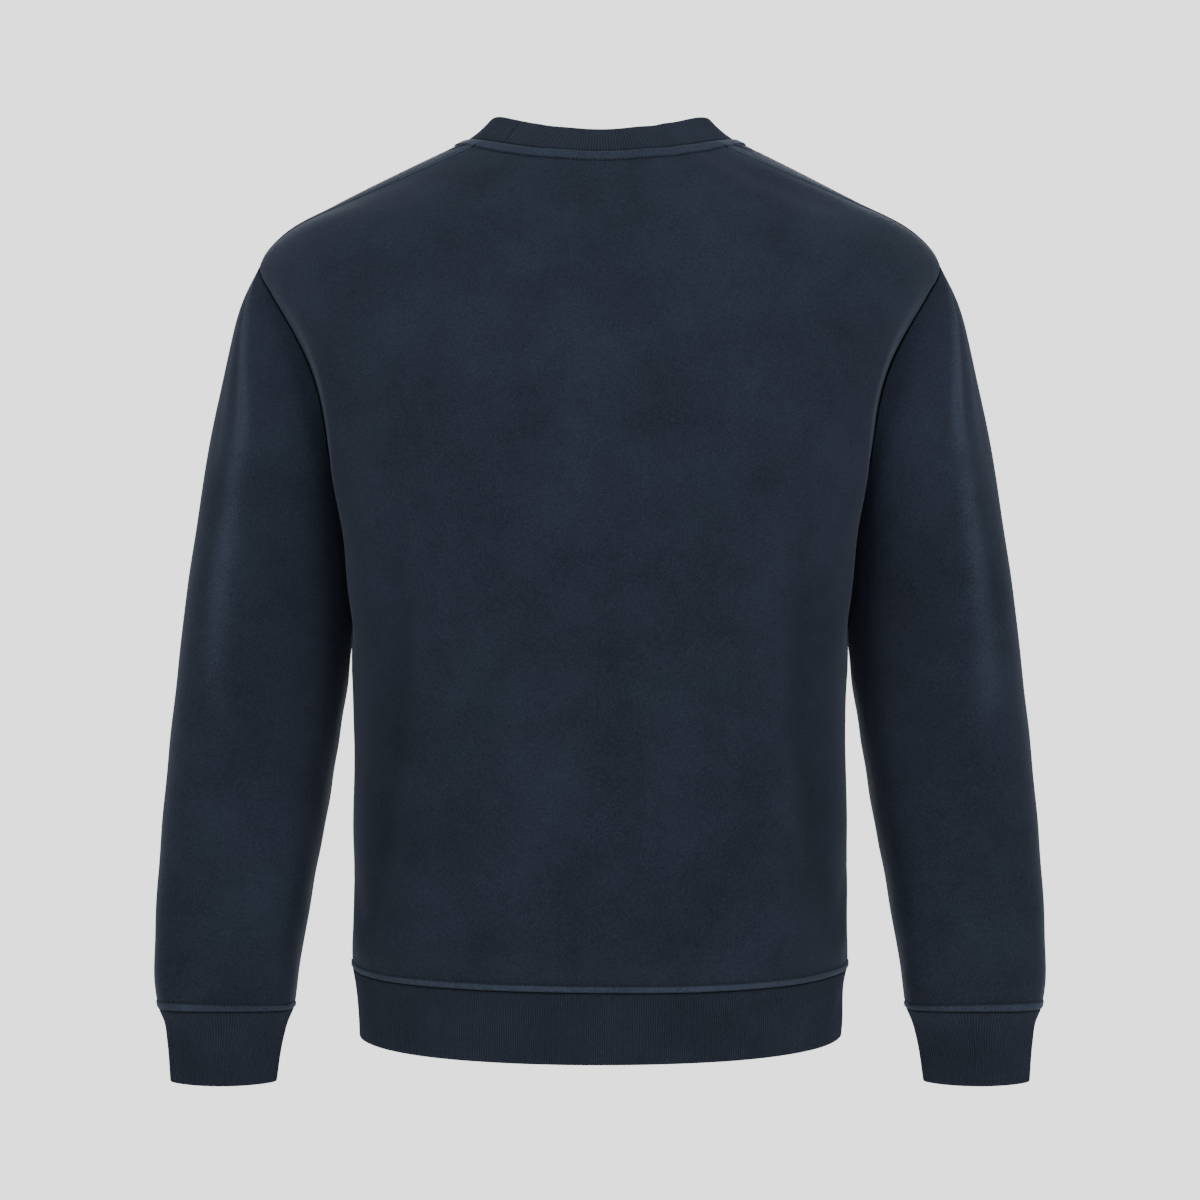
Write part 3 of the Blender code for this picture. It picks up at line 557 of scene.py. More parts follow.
    def neck_seam(self, turn: Array) -> Pair:
        """Angle and height of the neck seam on the wearer's left.

        Args:
            turn: angle round the neck, from 0 at the back to 180 at the front.

        Returns:
            Angles on the cloth and heights.
        """
        back = np.cos(np.radians(np.minimum(turn, 90)))
        front = np.cos(np.radians(np.maximum(turn, 90)))
        height = -self.neck_drop_back * back**2
        height = height - self.neck_drop_front * np.abs(front) ** self.neck_front_roundness
        x = self.neck_half_width * np.sin(np.radians(turn))
        sine = np.clip(x / (BODY_SIZES.read("half_width", height / MM) * MM), -1, 1)
        angle = np.degrees(np.arcsin(sine))
        angle = np.where(turn > 90, 180 - angle, angle)
        return self.cloth_angle(angle, height), height

    @cached_property
    def neck_shoulder_at(self) -> float:
        """The angle round the neck at which its seam crosses the shoulder seam.

        Returns:
            The angle in degrees.
        """
        turns = np.linspace(50, 90, 2001)
        angle, _ = self.neck_seam(turns)
        return float(np.interp(90.0, angle, turns))

    def armhole(self, turn: Array, front: bool) -> Pair:
        """Angle and height of the left armhole seam.

        Args:
            turn: degrees round the armhole, from 0 at the shoulder to 180 at the armpit.
            front: whether it is the seam of the front panel.

        Returns:
            Angles on the cloth and heights.
        """
        share = (1 + np.cos(np.radians(turn))) / 2
        height = self.armhole_bottom + (self.armhole_top - self.armhole_bottom) * share
        if front:
            return 90 + self.armhole_angle(height, self.bow_front), height
        return 90 - self.armhole_angle(height, self.bow_back), height

    def hem_seam_height(self, angle: Array) -> Array:
        """Height of the hem seam, lower at the centre back and front and gently waved.

        Args:
            angle: angle on the cloth.

        Returns:
            Heights in metres.
        """
        sag = np.abs(np.cos(np.radians(angle))) ** 1.2
        wave = self.hem_seam_wave * np.sin(np.radians(angle * 3 + 40))
        return self.hem_seam_side - self.hem_seam_sag * sag + wave * sag


def arc_lengths(points: Array) -> Array:
    """How far along a line each of its points lies, in metres."""
    steps = np.linalg.norm(np.diff(points, axis=0), axis=-1)
    return np.concatenate([[0], np.cumsum(steps)])


def graded(length: float, first: float, last: float, close: float) -> Array:
    """Places from 0 to a length, close together at the start and growing to wider steps.

    Args:
        length: the whole length, in metres.
        first: step at the start.
        last: widest step.
        close: how far the first step is kept.

    Returns:
        The places.
    """
    growth = 1.16
    places = [0.0]
    step = first
    while places[-1] < length:
        places.append(places[-1] + step)
        if places[-1] > close:
            step = min(step * growth, last)
    return np.array(places) * length / places[-1]


def distance_to(line: Array, points: Array) -> Array:
    """Distance from points to the nearest point of a finely drawn line.

    Args:
        line: points of the line.
        points: any grid of points.

    Returns:
        The distances in metres, in the shape of the grid.
    """
    flat = points.reshape(-1, 3)
    at_once = 40
    nearest = np.full(len(flat), FAR_AWAY)
    for part in np.array_split(line, max(len(line) // at_once, 1)):
        away = np.linalg.norm(flat[:, None] - part[None], axis=-1).min(axis=1)
        nearest = np.minimum(nearest, away)
    return nearest.reshape(points.shape[:-1])


def patch_row(u: Array, share: float, base: Array, top: Array, left: float, right: float) -> Array:
    """One row of a patch between four lines.

    Args:
        u: place of each point along the row, from 0 to 1.
        share: how far the row lies from the base (0) to the top (1).
        base: values along the base.
        top: values along the top.
        left: value at the row's first end.
        right: value at the row's last end.

    Returns:
        The row's values.
    """
    rows = (1 - share) * base + share * top
    sides = (1 - u) * left + u * right
    low = (1 - u) * base[0] + u * base[-1]
    high = (1 - u) * top[0] + u * top[-1]
    return rows + sides - (1 - share) * low - share * high


def grid_mesh(points: Array, uvs: Array, marks: dict[str, Array], closed: bool) -> bmesh.types.BMesh:
    """A mesh with a grid of faces on points that are given row by row.

    Args:
        points: rows x columns x 3. In a closed grid the last column repeats the first.
        uvs: rows x columns x 2, the cloth's flat coordinates in metres.
        marks: by name, rows x columns of numbers that the material reads at each vertex.
        closed: whether the last column is welded to the first.

    Returns:
        The mesh, with a uv map named cloth.
    """
    rows = points.shape[0] - 1
    columns = points.shape[1] - 1
    mesh = bmesh.new()
    layer = mesh.loops.layers.uv.new("cloth")
    layers = {name: mesh.verts.layers.float.new(name) for name in marks}
    made = bmesh.ops.create_grid(mesh, x_segments=columns, y_segments=rows, size=0.5)["verts"]
    place = {}
    for vert in made:
        i = round((vert.co.x + 0.5) * columns)
        j = round((vert.co.y + 0.5) * rows)
        place[vert] = (j, i)
    for face in mesh.faces:
        for loop in face.loops:
            loop[layer].uv = uvs[place[loop.vert]]
    for vert, at in place.items():
        vert.co = points[at]
        for name, values in marks.items():
            vert[layers[name]] = values[at]
    if closed:
        first = [v for v, at in place.items() if at[1] == 0]
        last = [v for v, at in place.items() if at[1] == columns]
        bmesh.ops.remove_doubles(mesh, verts=first + last, dist=1e-6)
    return mesh


def make_piece(mesh: bmesh.types.BMesh, name: str, materials: Materials) -> bpy.types.Object:
    """Turns a mesh into an object at the origin.

    Args:
        mesh: the finished mesh, which is freed.
        name: name of the piece.
        materials: its materials, in order.

    Returns:
        The new object.
    """
    data = bpy.data.meshes.new(name)
    mesh.to_mesh(data)
    mesh.free()
    data.shade_smooth()
    for material in materials:
        data.materials.append(material)
    piece = bpy.data.objects.new(name, data)
    bpy.context.scene.collection.objects.link(piece)
    return piece


def give_thickness(piece: bpy.types.Object, thickness: float) -> None:
    """Gives a shell a wall inwards, with the second material on its inner face.

    Args:
        piece: the shell.
        thickness: thickness of the wall, in metres.
    """
    wall = piece.modifiers.new("wall", "SOLIDIFY")
    wall.thickness = thickness
    wall.offset = -1.0
    wall.use_rim = True
    wall.material_offset = 1
    wall.material_offset_rim = 0


@dataclass
class StitchLine:
    """Where a row of stitches runs: its points, and the cloth's outward direction at each."""

    points: Array
    outward: Array


@dataclass
class SeamBand:
    """The low band that a covered seam forms beside a seam line."""

    width: float
    rise: float
    stitch_at: float
    # How pale the raised band is: paled by rubbing, and partly a painted highlight where light falls on the
    # raised band.
    paleness: float = 0.4
    # Strength of the painted shade in the groove of the stitches.
    groove_shade: float = 0.6
    edge: float = 0.9 * MM
    # Strength of the painted shade in the sunk seam.
    shade_strength: float = 0.75
    groove_depth: float = 0.32 * MM
    groove_width: float = 0.7 * MM
    thread_sunk: float = 0.2 * MM

    def relief(self, distance: Array) -> Array:
        """Height over the cloth, with a groove where the stitches run.

        Args:
            distance: distance from the seam, in metres.

        Returns:
            Heights in metres.
        """
        body = self.cover(distance)
        groove = self.groove_depth * hill(distance - self.stitch_at, self.groove_width)
        return self.rise * body - groove - self.roll(distance)

    def roll(self, distance: Array) -> Array:
        """How far the cloth's edge rolls in where it is sewn."""
        return 0.8 * MM * hill(distance, 0.8 * MM)

    @property
    def thread_lift(self) -> float:
        """Height of the stitches over the cloth."""
        body = float(self.cover(np.array(self.stitch_at)))
        return self.rise * body - self.thread_sunk

    def cover(self, distance: Array) -> Array:
        """Where the band covers the cloth, from 0 to 1."""
        return soft_step((self.width + self.edge - distance) / self.edge)

    def wear_and_highlight(self, distance: Array) -> Array:
        """How pale the band is, from 0 to 1: paled by rubbing, and partly a painted highlight on the raised
        band.
        """
        return self.paleness * self.cover(distance)

    def shade(self, distance: Array) -> Array:
        """Painted shade in the sunk seam and in the groove of the stitches, from 0 to 1."""
        return np.maximum(self.shade_strength * hill(distance, 0.6 * MM), 0.35 * self.hole_shade(distance))

    def hole_shade(self, distance: Array) -> Array:
        """Painted shade along the stitch line, which the material breaks into dashes where the needle went
        through, from 0 to 1.
        """
        return self.groove_shade * hill(distance - self.stitch_at, 0.6 * MM)


NECK_BAND = SeamBand(7.9 * MM, 1.3 * MM, 8.3 * MM, groove_shade=0.95, edge=1.3 * MM)
# The shoulder band's paleness is partly rubbing and partly a painted highlight where the light from above
# falls on the top of the shoulder.
SHOULDER_BAND = SeamBand(6.2 * MM, 0.6 * MM, 3.2 * MM, paleness=1.0, groove_shade=0.5, shade_strength=0.35)
HEM_BAND = SeamBand(4.3 * MM, 0.8 * MM, 5.2 * MM, paleness=1.0)
CUFF_BAND = SeamBand(4.0 * MM, 0.8 * MM, 4.9 * MM, paleness=0.8)


def side_roll(distance: Array) -> Array:
    """How far a plain edge rolls in at a side or armhole seam, by the distance from it."""
    return 0.6 * MM * hill(distance, 0.8 * MM)


@dataclass
class Panel:
    """The front or the back, from the hem seam up to the armholes, shoulders and neck."""

    torso: Torso
    front: bool
    shoulder_step: float = 4.4 * MM
    neck_step: float = 3.8 * MM
    corner_step: float = 1.1 * MM
    corner_reach: float = 12 * MM
    fine_steps: int = 1200
    turning: float = 34 * MM
    end_reach: float = 70 * MM
    body_rows: int = 104
    armhole_rows: int = 78
    edge_columns: tuple[float, ...] = (0.0, 0.0012, 0.003, 0.006)
    strip_rows: tuple[float, ...] = (
        0, 0.4, 0.9, 1.6, 2.5, 3.3, 4.0, 4.5, 5.0, 5.5, 6.0, 6.5,
        7.0, 7.5, 8.0, 8.5, 9.0, 9.5, 10.2, 11.2, 12.5, 14.5,
    )
    hem_rows: tuple[float, ...] = (0, 0.5, 1.1, 2.0, 3.0, 3.8, 4.3, 4.7, 5.2, 5.8, 6.8, 8.5)
    thickness: float = 1.9 * MM
    climb_delay: float = 1.6
    eased_rows: int = 40
    easing_passes: int = 200
    easing: float = 0.45
    measured_rows: int = 14
    shoulder_clear_row: int = -12
    # The painted highlight on the crest of the tuck, and the painted shade in the troughs, on the flanks and
    # in the side and shoulder seams.
    crest_depth: float = 2.2 * MM
    crest_highlight: float = 0.14
    trough_shade: float = 0.26
    flank_shade: float = 0.12
    side_shade: float = 0.45
    shoulder_shade: float = 0.2
    tack_places: tuple[float, float] = (-16.2 * MM, 16.8 * MM)
    tack_rows: tuple[float, float] = (0.8 * MM, 8.0 * MM)

    def __post_init__(self) -> None:
        """Works out the grid of the panel."""
        self.centre = 180.0 if self.front else 0.0
        self.lay_out()

    def mirror(self, angle: Array) -> Array:
        """The angle on the other side of the panel's centre line."""
        return 2 * self.centre - angle

    def top_line(self) -> Pair:
        """Angle and height along one shoulder seam, the neck seam and the other shoulder seam.

        Returns:
            Angles on the cloth and heights, close together by the corners.
        """
        torso = self.torso
        _, corner = torso.neck_seam(np.array(torso.neck_shoulder_at))
        heights = np.linspace(corner, torso.armhole_top, self.fine_steps)
        along = arc_lengths(torso.point(np.full(heights.shape, 90.0), heights))
        places = graded(along[-1], self.corner_step, self.shoulder_step, self.corner_reach)[::-1]
        places = places[places < along[-1] - self.edge_columns[-1] - self.shoulder_step / 2]
        places = np.concatenate([along[-1] - np.array(self.edge_columns), places])
        left_height = np.interp(places, along, heights)
        left_angle = np.full(left_height.shape, 90.0)
        turns = np.linspace(torso.neck_shoulder_at, self.centre, self.fine_steps)
        along = arc_lengths(torso.point(*torso.neck_seam(turns)))
        places = graded(along[-1], self.corner_step, self.neck_step, self.corner_reach)
        neck_angle, neck_height = torso.neck_seam(np.interp(places, along, turns)[1:])
        neck_angle[-1] = self.centre
        angle = np.concatenate([left_angle, neck_angle])
        height = np.concatenate([left_height, neck_height])
        angle = np.concatenate([angle, self.mirror(angle[:-1])[::-1]])
        height = np.concatenate([height, height[:-1][::-1]])
        return angle, height

    def inward(self, angle: Array, height: Array) -> Array:
        """Directions over the body away from the top line, which turn gently past its corners.

        Args:
            angle: angles along the top line.
            height: heights along the top line.

        Returns:
            Directions of length one.
        """
        points = self.torso.point(angle, height)
        along = unit(np.diff(points, axis=0))
        out = self.torso.outward(angle, height)
        before = np.cross(np.concatenate([along[:1], along]), out)
        after = np.cross(np.concatenate([along, along[-1:]]), out)
        square = unit(before + after)
        places = arc_lengths(points)
        weight = np.exp(-(((places[:, None] - places[None]) / self.turning) ** 2)) * np.gradient(places)
        eased = unit(weight @ square)
        eased = unit(eased - out * (eased * out).sum(-1, keepdims=True))
        return eased if eased[:, 2].mean() < 0 else -eased

    def aside(self, angle: Array, height: Array) -> Array:
        """Flat distance from the panel's centre line, more than 0 on the wearer's left."""
        turned = 180 - angle if self.front else angle
        return BODY_SIZES.read("half_width", height / MM) * MM * turned / 90

    def angle_at(self, aside: Array, height: Array) -> Array:
        """The angle of a flat distance from the panel's centre line."""
        turned = aside / (BODY_SIZES.read("half_width", height / MM) * MM) * 90
        return 180 - turned if self.front else turned

    def armhole_at(self, distance: float) -> float:
        """Degrees round the armhole of the place at a distance from the shoulder's end.

        Args:
            distance: how far down the armhole seam, in metres.

        Returns:
            The degrees.
        """
        turns = np.linspace(0, 180, 1441)
        along = arc_lengths(self.torso.point(*self.torso.armhole(turns, self.front)))
        return np.interp(distance, along, turns)

    def lay_out(self) -> None:
        """Works out angle, height, place and distance from the seams of each point."""
        torso = self.torso
        line = self.top_line()
        lengths = arc_lengths(torso.point(*line))
        top = self.top_strip(*line, lengths)
        u = lengths / lengths[-1]
        hem_angle = 90 + (self.mirror(90.0) - 90) * u
        hem_height = torso.hem_seam_height(hem_angle)
        foot = [(hem_angle, hem_height + rise * MM) for rise in self.hem_rows]
        middle = self.relaxed(self.middle_rows(foot[-1], top[-1], u))
        rows = foot[:-1] + middle + top[:-1][::-1]
        self.angle = np.array([angle for angle, _ in rows])
        self.height = np.array([height for _, height in rows])
        self.face = torso.point(self.angle, self.height)
        self.measure_seams(len(top) + self.measured_rows)

    def top_strip(self, angle: Array, height: Array, lengths: Array) -> list[Pair]:
        """The close rows beside the top line, whose ends run down the armholes.

        Args:
            angle: angles along the top line.
            height: heights along the top line.
            lengths: how far along the line each place lies.

        Returns:
            Angles and heights of each row, from the top line down.
        """
        torso = self.torso
        inward = self.inward(angle, height)
        near = np.clip(1 - np.minimum(lengths, lengths[-1] - lengths) / self.end_reach, 0, 1)
        fade = near * near
        left_half = np.arange(len(angle)) < len(angle) / 2
        rows = []
        for before, reach in zip((0.0, *self.strip_rows), self.strip_rows):
            out = torso.outward(angle, height)
            way = unit(inward - out * (inward * out).sum(-1, keepdims=True))
            angle, height = torso.slide(angle, height, way * (reach - before) * MM)
            at_angle, at_height = torso.armhole(self.armhole_at(reach * MM), self.front)
            step_angle = np.where(left_half, at_angle - angle[0], self.mirror(at_angle) - angle[-1])
            step_height = np.where(left_half, at_height - height[0], at_height - height[-1])
            rows.append((angle + step_angle * fade, height + step_height * fade))
        return rows

    def middle_rows(self, foot: Pair, top: Pair, u: Array) -> list[Pair]:
        """The rows between the hem's strip and the top strip.

        Args:
            foot: angles and heights of the row that they start from.
            top: angles and heights of the row that they end at.
            u: place of each point along the rows, from 0 to 1.

        Returns:
            Angles and heights of each row, with foot and top as the first and the last.
        """
        torso = self.torso
        heights = np.linspace(foot[1][0], torso.armhole_bottom, self.body_rows + 1)
        last_turn = self.armhole_at(self.strip_rows[-1] * MM)
        turns = np.linspace(180, last_turn, self.armhole_rows + 1)[1:]
        arm_angle, arm_height = torso.armhole(turns, self.front)
        left_angle = np.concatenate([np.full(len(heights), 90.0), arm_angle])
        left_height = np.concatenate([heights, arm_height])
        left_aside = self.aside(left_angle, left_height)
        lengths = arc_lengths(torso.point(left_angle, left_height))
        foot_aside = self.aside(*foot)
        top_aside = self.aside(*top)
        climbed = torso.armhole_share(left_height)
        climbed = (climbed / climbed[-1]) ** self.climb_delay
        rows = []
        for k, share in enumerate(lengths / lengths[-1]):
            aside = patch_row(u, share, foot_aside, top_aside, left_aside[k], -left_aside[k])
            sag = (foot[1] - foot[1][0]) * (1 - share) ** 3
            climb = (top[1] - top[1][0]) * climbed[k]
            height = left_height[k] + sag + climb
            rows.append((self.angle_at(aside, height), height))
        return [foot, *rows[1:-1], top]

    def relaxed(self, rows: list[Pair]) -> list[Pair]:
        """Draws the grid's inner points evenly between their neighbours near the top.

        Args:
            rows: angles and heights of each row.

        Returns:
            The rows after the last pass.
        """
        height = np.array([row for _, row in rows])
        aside = np.array([self.aside(*row) for row in rows])
        start = len(rows) - self.eased_rows
        flat = np.stack([aside, height], axis=-1)[start:]
        for _ in range(self.easing_passes):
            level = (flat[1:-1, :-2] + flat[1:-1, 2:]) / 2
            upright = (flat[:-2, 1:-1] + flat[2:, 1:-1]) / 2
            flat[1:-1, 1:-1] += self.easing * (level + upright - 2 * flat[1:-1, 1:-1])
        aside[start:], height[start:] = flat[..., 0], flat[..., 1]
        angle = self.angle_at(aside, height)
        return list(zip(angle, height))

    def measure_seams(self, close: int) -> None:
        """Measures how far each point lies from the hem, neck and shoulder seams.

        Args:
            close: how many rows from the top are near enough to be measured.
        """
        torso = self.torso
        corner = torso.neck_shoulder_at
        turns = np.linspace(corner, 2 * self.centre - corner, 900)
        sign = np.sign(self.centre + 1 - turns) if self.front else np.sign(turns)
        angle, height = torso.neck_seam(np.abs(degrees_apart(turns)))
        neck = torso.point(angle * sign, height)
        heights = np.linspace(float(height[0]), torso.armhole_top, 420)
        seams = [torso.point(np.full(heights.shape, side), heights) for side in (90.0, -90.0)]
        self.from_hem = np.full(self.angle.shape, FAR_AWAY)
        self.from_neck = self.from_hem.copy()
        self.from_shoulder = self.from_hem.copy()
        self.from_hem[: len(self.hem_rows)] = np.array(self.hem_rows)[:, None] * MM
        self.from_neck[-close:] = distance_to(neck, self.face[-close:])
        self.from_shoulder[-close:] = distance_to(np.concatenate(seams), self.face[-close:])

    def relief(self, from_side: Array, over: Array) -> Array:
        """Height of the seam bands and rolled edges over the plain cloth.

        Args:
            from_side: distance of each point from the panel's sides.
            over: where the neck band covers the cloth, from 0 to 1.

        Returns:
            Heights in metres.
        """
        relief = HEM_BAND.relief(self.from_hem) - side_roll(from_side)
        if self.front:
            shoulder = SHOULDER_BAND.relief(self.from_shoulder)
        else:
            shoulder = -SHOULDER_BAND.roll(self.from_shoulder)
        return relief + NECK_BAND.relief(self.from_neck) + shoulder * (1 - over)

    def marks(self, from_side: Array, over: Array) -> dict[str, Array]:
        """What the material reads: where seam bands are paled by rubbing, the painted highlight on the
        tuck's crest, and painted shade in the seams, troughs and flanks and where the needle went through.

        Args:
            from_side: distance of each point from the panel's sides.
            over: where the neck band covers the cloth, from 0 to 1.

        Returns:
            Numbers from 0 to 1 by the name of the mark.
        """
        # Painted highlight: a thin pale line along the crest of the fold that the tuck makes beside the
        # armhole.
        tucked = self.torso.tuck(self.angle, self.height) / self.crest_depth
        crest = self.crest_highlight * hill(tucked - 1, 0.5) * soft_step((tucked - 0.1) / 0.4)
        wear_and_highlight = np.maximum(crest, HEM_BAND.wear_and_highlight(self.from_hem) + NECK_BAND.wear_and_highlight(self.from_neck))
        shade = np.maximum(HEM_BAND.shade(self.from_hem), NECK_BAND.shade(self.from_neck))
        hole_shade = np.maximum(HEM_BAND.hole_shade(self.from_hem), NECK_BAND.hole_shade(self.from_neck))
        if self.front:
            wear_and_highlight = np.maximum(wear_and_highlight, SHOULDER_BAND.wear_and_highlight(self.from_shoulder))
            shade = np.maximum(shade, SHOULDER_BAND.shade(self.from_shoulder) * (1 - over))
            hole_shade = np.maximum(hole_shade, SHOULDER_BAND.hole_shade(self.from_shoulder) * (1 - over))
        # Painted shade in the side and shoulder seams, in the troughs and on the flanks below the armholes,
        # where the arms keep light off.
        sides = self.side_shade * hill(from_side, 0.7 * MM)
        shoulders = self.shoulder_shade * hill(self.from_shoulder, 0.6 * MM)
        hollow = self.trough_shade * self.torso.hollow(self.angle, self.height)
        hollow = hollow + self.flank_shade * self.torso.flank(self.angle, self.height)
        shade = np.maximum.reduce([shade, sides, shoulders, hollow])
        return {"wear_and_highlight": wear_and_highlight, "shade": shade, "hole_shade": hole_shade}

    def build(self, name: str, materials: Materials) -> bpy.types.Object:
        """Makes the panel's object.

        Args:
            name: name of the piece.
            materials: the fleece's smooth face and its brushed inside.

        Returns:
            The panel.
        """
        face = self.face
        from_left = np.linalg.norm(face - face[:, :1], axis=-1)
        from_right = np.linalg.norm(face - face[:, -1:], axis=-1)
        from_side = np.minimum(from_left, from_right)
        over = NECK_BAND.cover(self.from_neck)
        out = self.torso.outward(self.angle, self.height)
        points = face + out * self.relief(from_side, over)[..., None]
        uvs = np.stack([self.aside(self.angle, self.height), self.height], axis=-1)
        mesh = grid_mesh(points, uvs, self.marks(from_side, over), closed=False)
        if self.front:
            bmesh.ops.reverse_faces(mesh, faces=mesh.faces[:])
        piece = make_piece(mesh, name, materials)
        give_thickness(piece, self.thickness)
        return piece

    def line_at(self, angle: Array, height: Array, lift: float) -> StitchLine:
        """A stitch line over places of the body, at a height over its face."""
        out = self.torso.outward(angle, height)
        return StitchLine(self.torso.point(angle, height) + out * lift, out)

    def along_seam(self, distance: Array, band: SeamBand, columns: Array) -> StitchLine:
        """A stitch line where the distance from a seam is the band's.

        Args:
            distance: distance from the seam at each point of the grid.
            band: the seam's band.
            columns: the columns to follow, in order.

        Returns:
            The line, from the first column that reaches the distance to the last.
        """
        places = []
        for column in columns:
            values = distance[::-1, column]
            if values[0] > band.stitch_at:
                continue
            step = int(np.argmax(values > band.stitch_at))
            t = (band.stitch_at - values[step - 1]) / (values[step] - values[step - 1])
            high = np.array([self.angle[-step, column], self.height[-step, column]])
            low = np.array([self.angle[-1 - step, column], self.height[-1 - step, column]])
            places.append(high + (low - high) * t)
        angle, height = np.array(places).T
        return self.line_at(angle, height, band.thread_lift)

    def stitch_lines(self) -> list[StitchLine]:
        """The rows of stitches beside the neck, shoulder and hem seams.

        Returns:
            The rows.
        """
        columns = np.arange(self.angle.shape[1])
        lines = [self.along_seam(self.from_neck, NECK_BAND, columns)]
        if self.front:
            middle = len(columns) // 2
            for half in (columns[:middle], columns[middle:]):
                clear = self.from_neck[self.shoulder_clear_row, half] > NECK_BAND.width
                lines.append(self.along_seam(self.from_shoulder, SHOULDER_BAND, half[clear]))
        hem = np.linspace(90, self.mirror(90.0), 401)
        hem_row = self.torso.hem_seam_height(hem) + HEM_BAND.stitch_at
        lines.append(self.line_at(hem, hem_row, HEM_BAND.thread_lift))
        if not self.front:
            lines += self.bar_tacks()
        return lines

    def bar_tacks(self) -> list[StitchLine]:
        """The two short upright rows of close stitches on the neck band at the centre back.

        Returns:
            The rows.
        """
        lines = []
        for x in self.tack_places:
            turn = math.degrees(math.asin(x / self.torso.neck_half_width))
            down = np.linspace(*self.tack_rows, 9)
            angle, height = self.torso.neck_seam(np.full(down.shape, abs(turn)))
            lines.append(self.line_at(angle * np.sign(turn), height - down, NECK_BAND.rise))
        return lines


@dataclass
class Sleeve:
    """A sleeve from the armhole seam to the cuff seam, made on the wearer's left."""

    torso: Torso
    square_top: float = 0.02
    square_arm: float = 0.06
    square_start: float = 0.24
    square_rise: float = 0.2
    seam_fade: float = 0.34
    columns: int = 152
    rows: int = 188
    probe: float = 0.002
    turn_probe: float = 0.2
    thickness: float = 1.9 * MM
    end_length: float = 380 * MM
    calm_height: float = 0.3 * MM
    calm_length: float = 70 * MM
    gathers: Gathers = Gathers(0.35 * MM, 5.2 * MM, 1.8, 50 * MM, 12 * MM, 9)
    start_rows: tuple[float, ...] = (0, 0.0012, 0.0028, 0.005)
    cuff_rows: tuple[float, ...] = (1.7, 1.45, 1.3, 1.22, 1.12, 1.0, 0.85, 0.6, 0.35, 0.18, 0.08, 0.0)
    folds: Folds = Folds(
        (
            (66, 0.08, 88, 0.52, -1.6, 18, 0.0),
            (338, 0.02, 322, 0.42, 2.6, 10, 0.0),
            (300, 0.14, 275, 0.50, -1.6, 18, 0.0),
            (228, 0.38, 292, 0.50, -2.2, 9, 0.0),
            (222, 0.50, 296, 0.58, -1.8, 9, 0.0),
            (162, 0.08, 160, 0.26, 3.0, 11, 0.0),
            (199, 0.10, 202, 0.24, 2.0, 11, 0.0),
            (120, 0.84, 50, 0.97, 1.4, 10, 0.0),
            (250, 0.86, 318, 0.97, 1.4, 10, 0.0),
        ),
        ARM_LENGTH,
        ARM_RADIUS,
    )
    creases: Folds = Folds(
        (
            (17, 0.004, 57, 0.18, 1.8, 4.8, 6.0),
            (52, 0.12, 67, 0.54, 1.7, 7.4, 1.5),
            (23, 0.06, 40, 0.24, 0.8, 4.6, 3.0),
            (343, 0.004, 306, 0.19, 1.8, 4.8, -5.0),
            (310, 0.13, 292, 0.48, 1.6, 7.4, -1.5),
        ),
        ARM_LENGTH,
        ARM_RADIUS,
    )
    # The painted highlight on the creases' crests, and the painted shade on the side beside the body, in the
    # armhole seam and in the seam under the arm.
    crease_height: float = 1.7 * MM
    crease_highlight: float = 0.66
    arm_shade: float = 0.30
    shaded_turn: float = 118.0
    shaded_width: float = 34.0
    shaded_start: float = 0.03
    shaded_end: float = 0.78
    armhole_shade: float = 0.5
    under_seam_depth: float = 0.5 * MM
    under_seam_shade: float = 0.7

    def armpit_side(self, turn: Array, share: Array) -> Array:
        """How far a place lies on the side that the body keeps light off.

        Args:
            turn: angle round the sleeve.
            share: share of its length.

        Returns:
            Numbers from 0 to 1.
        """
        round_it = hill(np.abs(degrees_apart(turn)) - self.shaded_turn, self.shaded_width)
        begun = soft_step((share - self.shaded_start) / 0.12)
        return round_it * begun * soft_step((self.shaded_end - share) / 0.4)

    def oval(self, turn: Array, share: Array) -> Array:
        """Points of a plain sleeve.

        Args:
            turn: angle round the sleeve, from 0 at its outer side over its back (90).
            share: share of its length, from 0 at the armhole to 1 at the cuff.

        Returns:
            The points.
        """
        turned = np.radians(turn)
        squarer = soft_step((share - self.square_start) / self.square_rise)
        square = self.square_top + (self.square_arm - self.square_top) * squarer
        wide = (np.cos(turned) - square * np.cos(3 * turned)) / (1 - square)
        deep = (np.sin(turned) + square * np.sin(3 * turned)) / (1 - square)
        names = ("outer_x", "inner_x", "outer_z", "inner_z", "back", "front")
        sizes = (SLEEVE_SIZES.read(name, share) * MM for name in names)
        outer_x, inner_x, outer_z, inner_z, back, front = sizes
        x = (outer_x + inner_x) / 2 + (outer_x - inner_x) / 2 * wide
        z = (outer_z + inner_z) / 2 + (outer_z - inner_z) / 2 * wide
        y = (back + front) / 2 + (back - front) / 2 * deep
        return np.stack([x, y, z], axis=-1)

    def armhole_loop(self, turn: Array) -> Array:
        """Points of the left armhole seam.

        Args:
            turn: angle round the sleeve.

        Returns:
            The points.
        """
        turned = np.asarray(turn, float) % 360
        front = turned > 180
        around = np.where(front, 360 - turned, turned)
        angle_back, height = self.torso.armhole(around, False)
        angle_front, _ = self.torso.armhole(around, True)
        return self.torso.point(np.where(front, angle_front, angle_back), height)

    def form(self, turn: Array, share: Array) -> Array:
        """Points of the left sleeve before its folds: an oval tube that starts as the armhole seam.

        Args:
            turn: angle round the sleeve.
            share: share of its length.

        Returns:
            The points.
        """
        turn, share = np.broadcast_arrays(np.asarray(turn, float), np.asarray(share, float))
        start = self.armhole_loop(turn) - self.oval(turn, np.zeros_like(share))
        fade = (1 - np.clip(share / self.seam_fade, 0, 1)) ** 3
        return self.oval(turn, share) + start * fade[..., None]

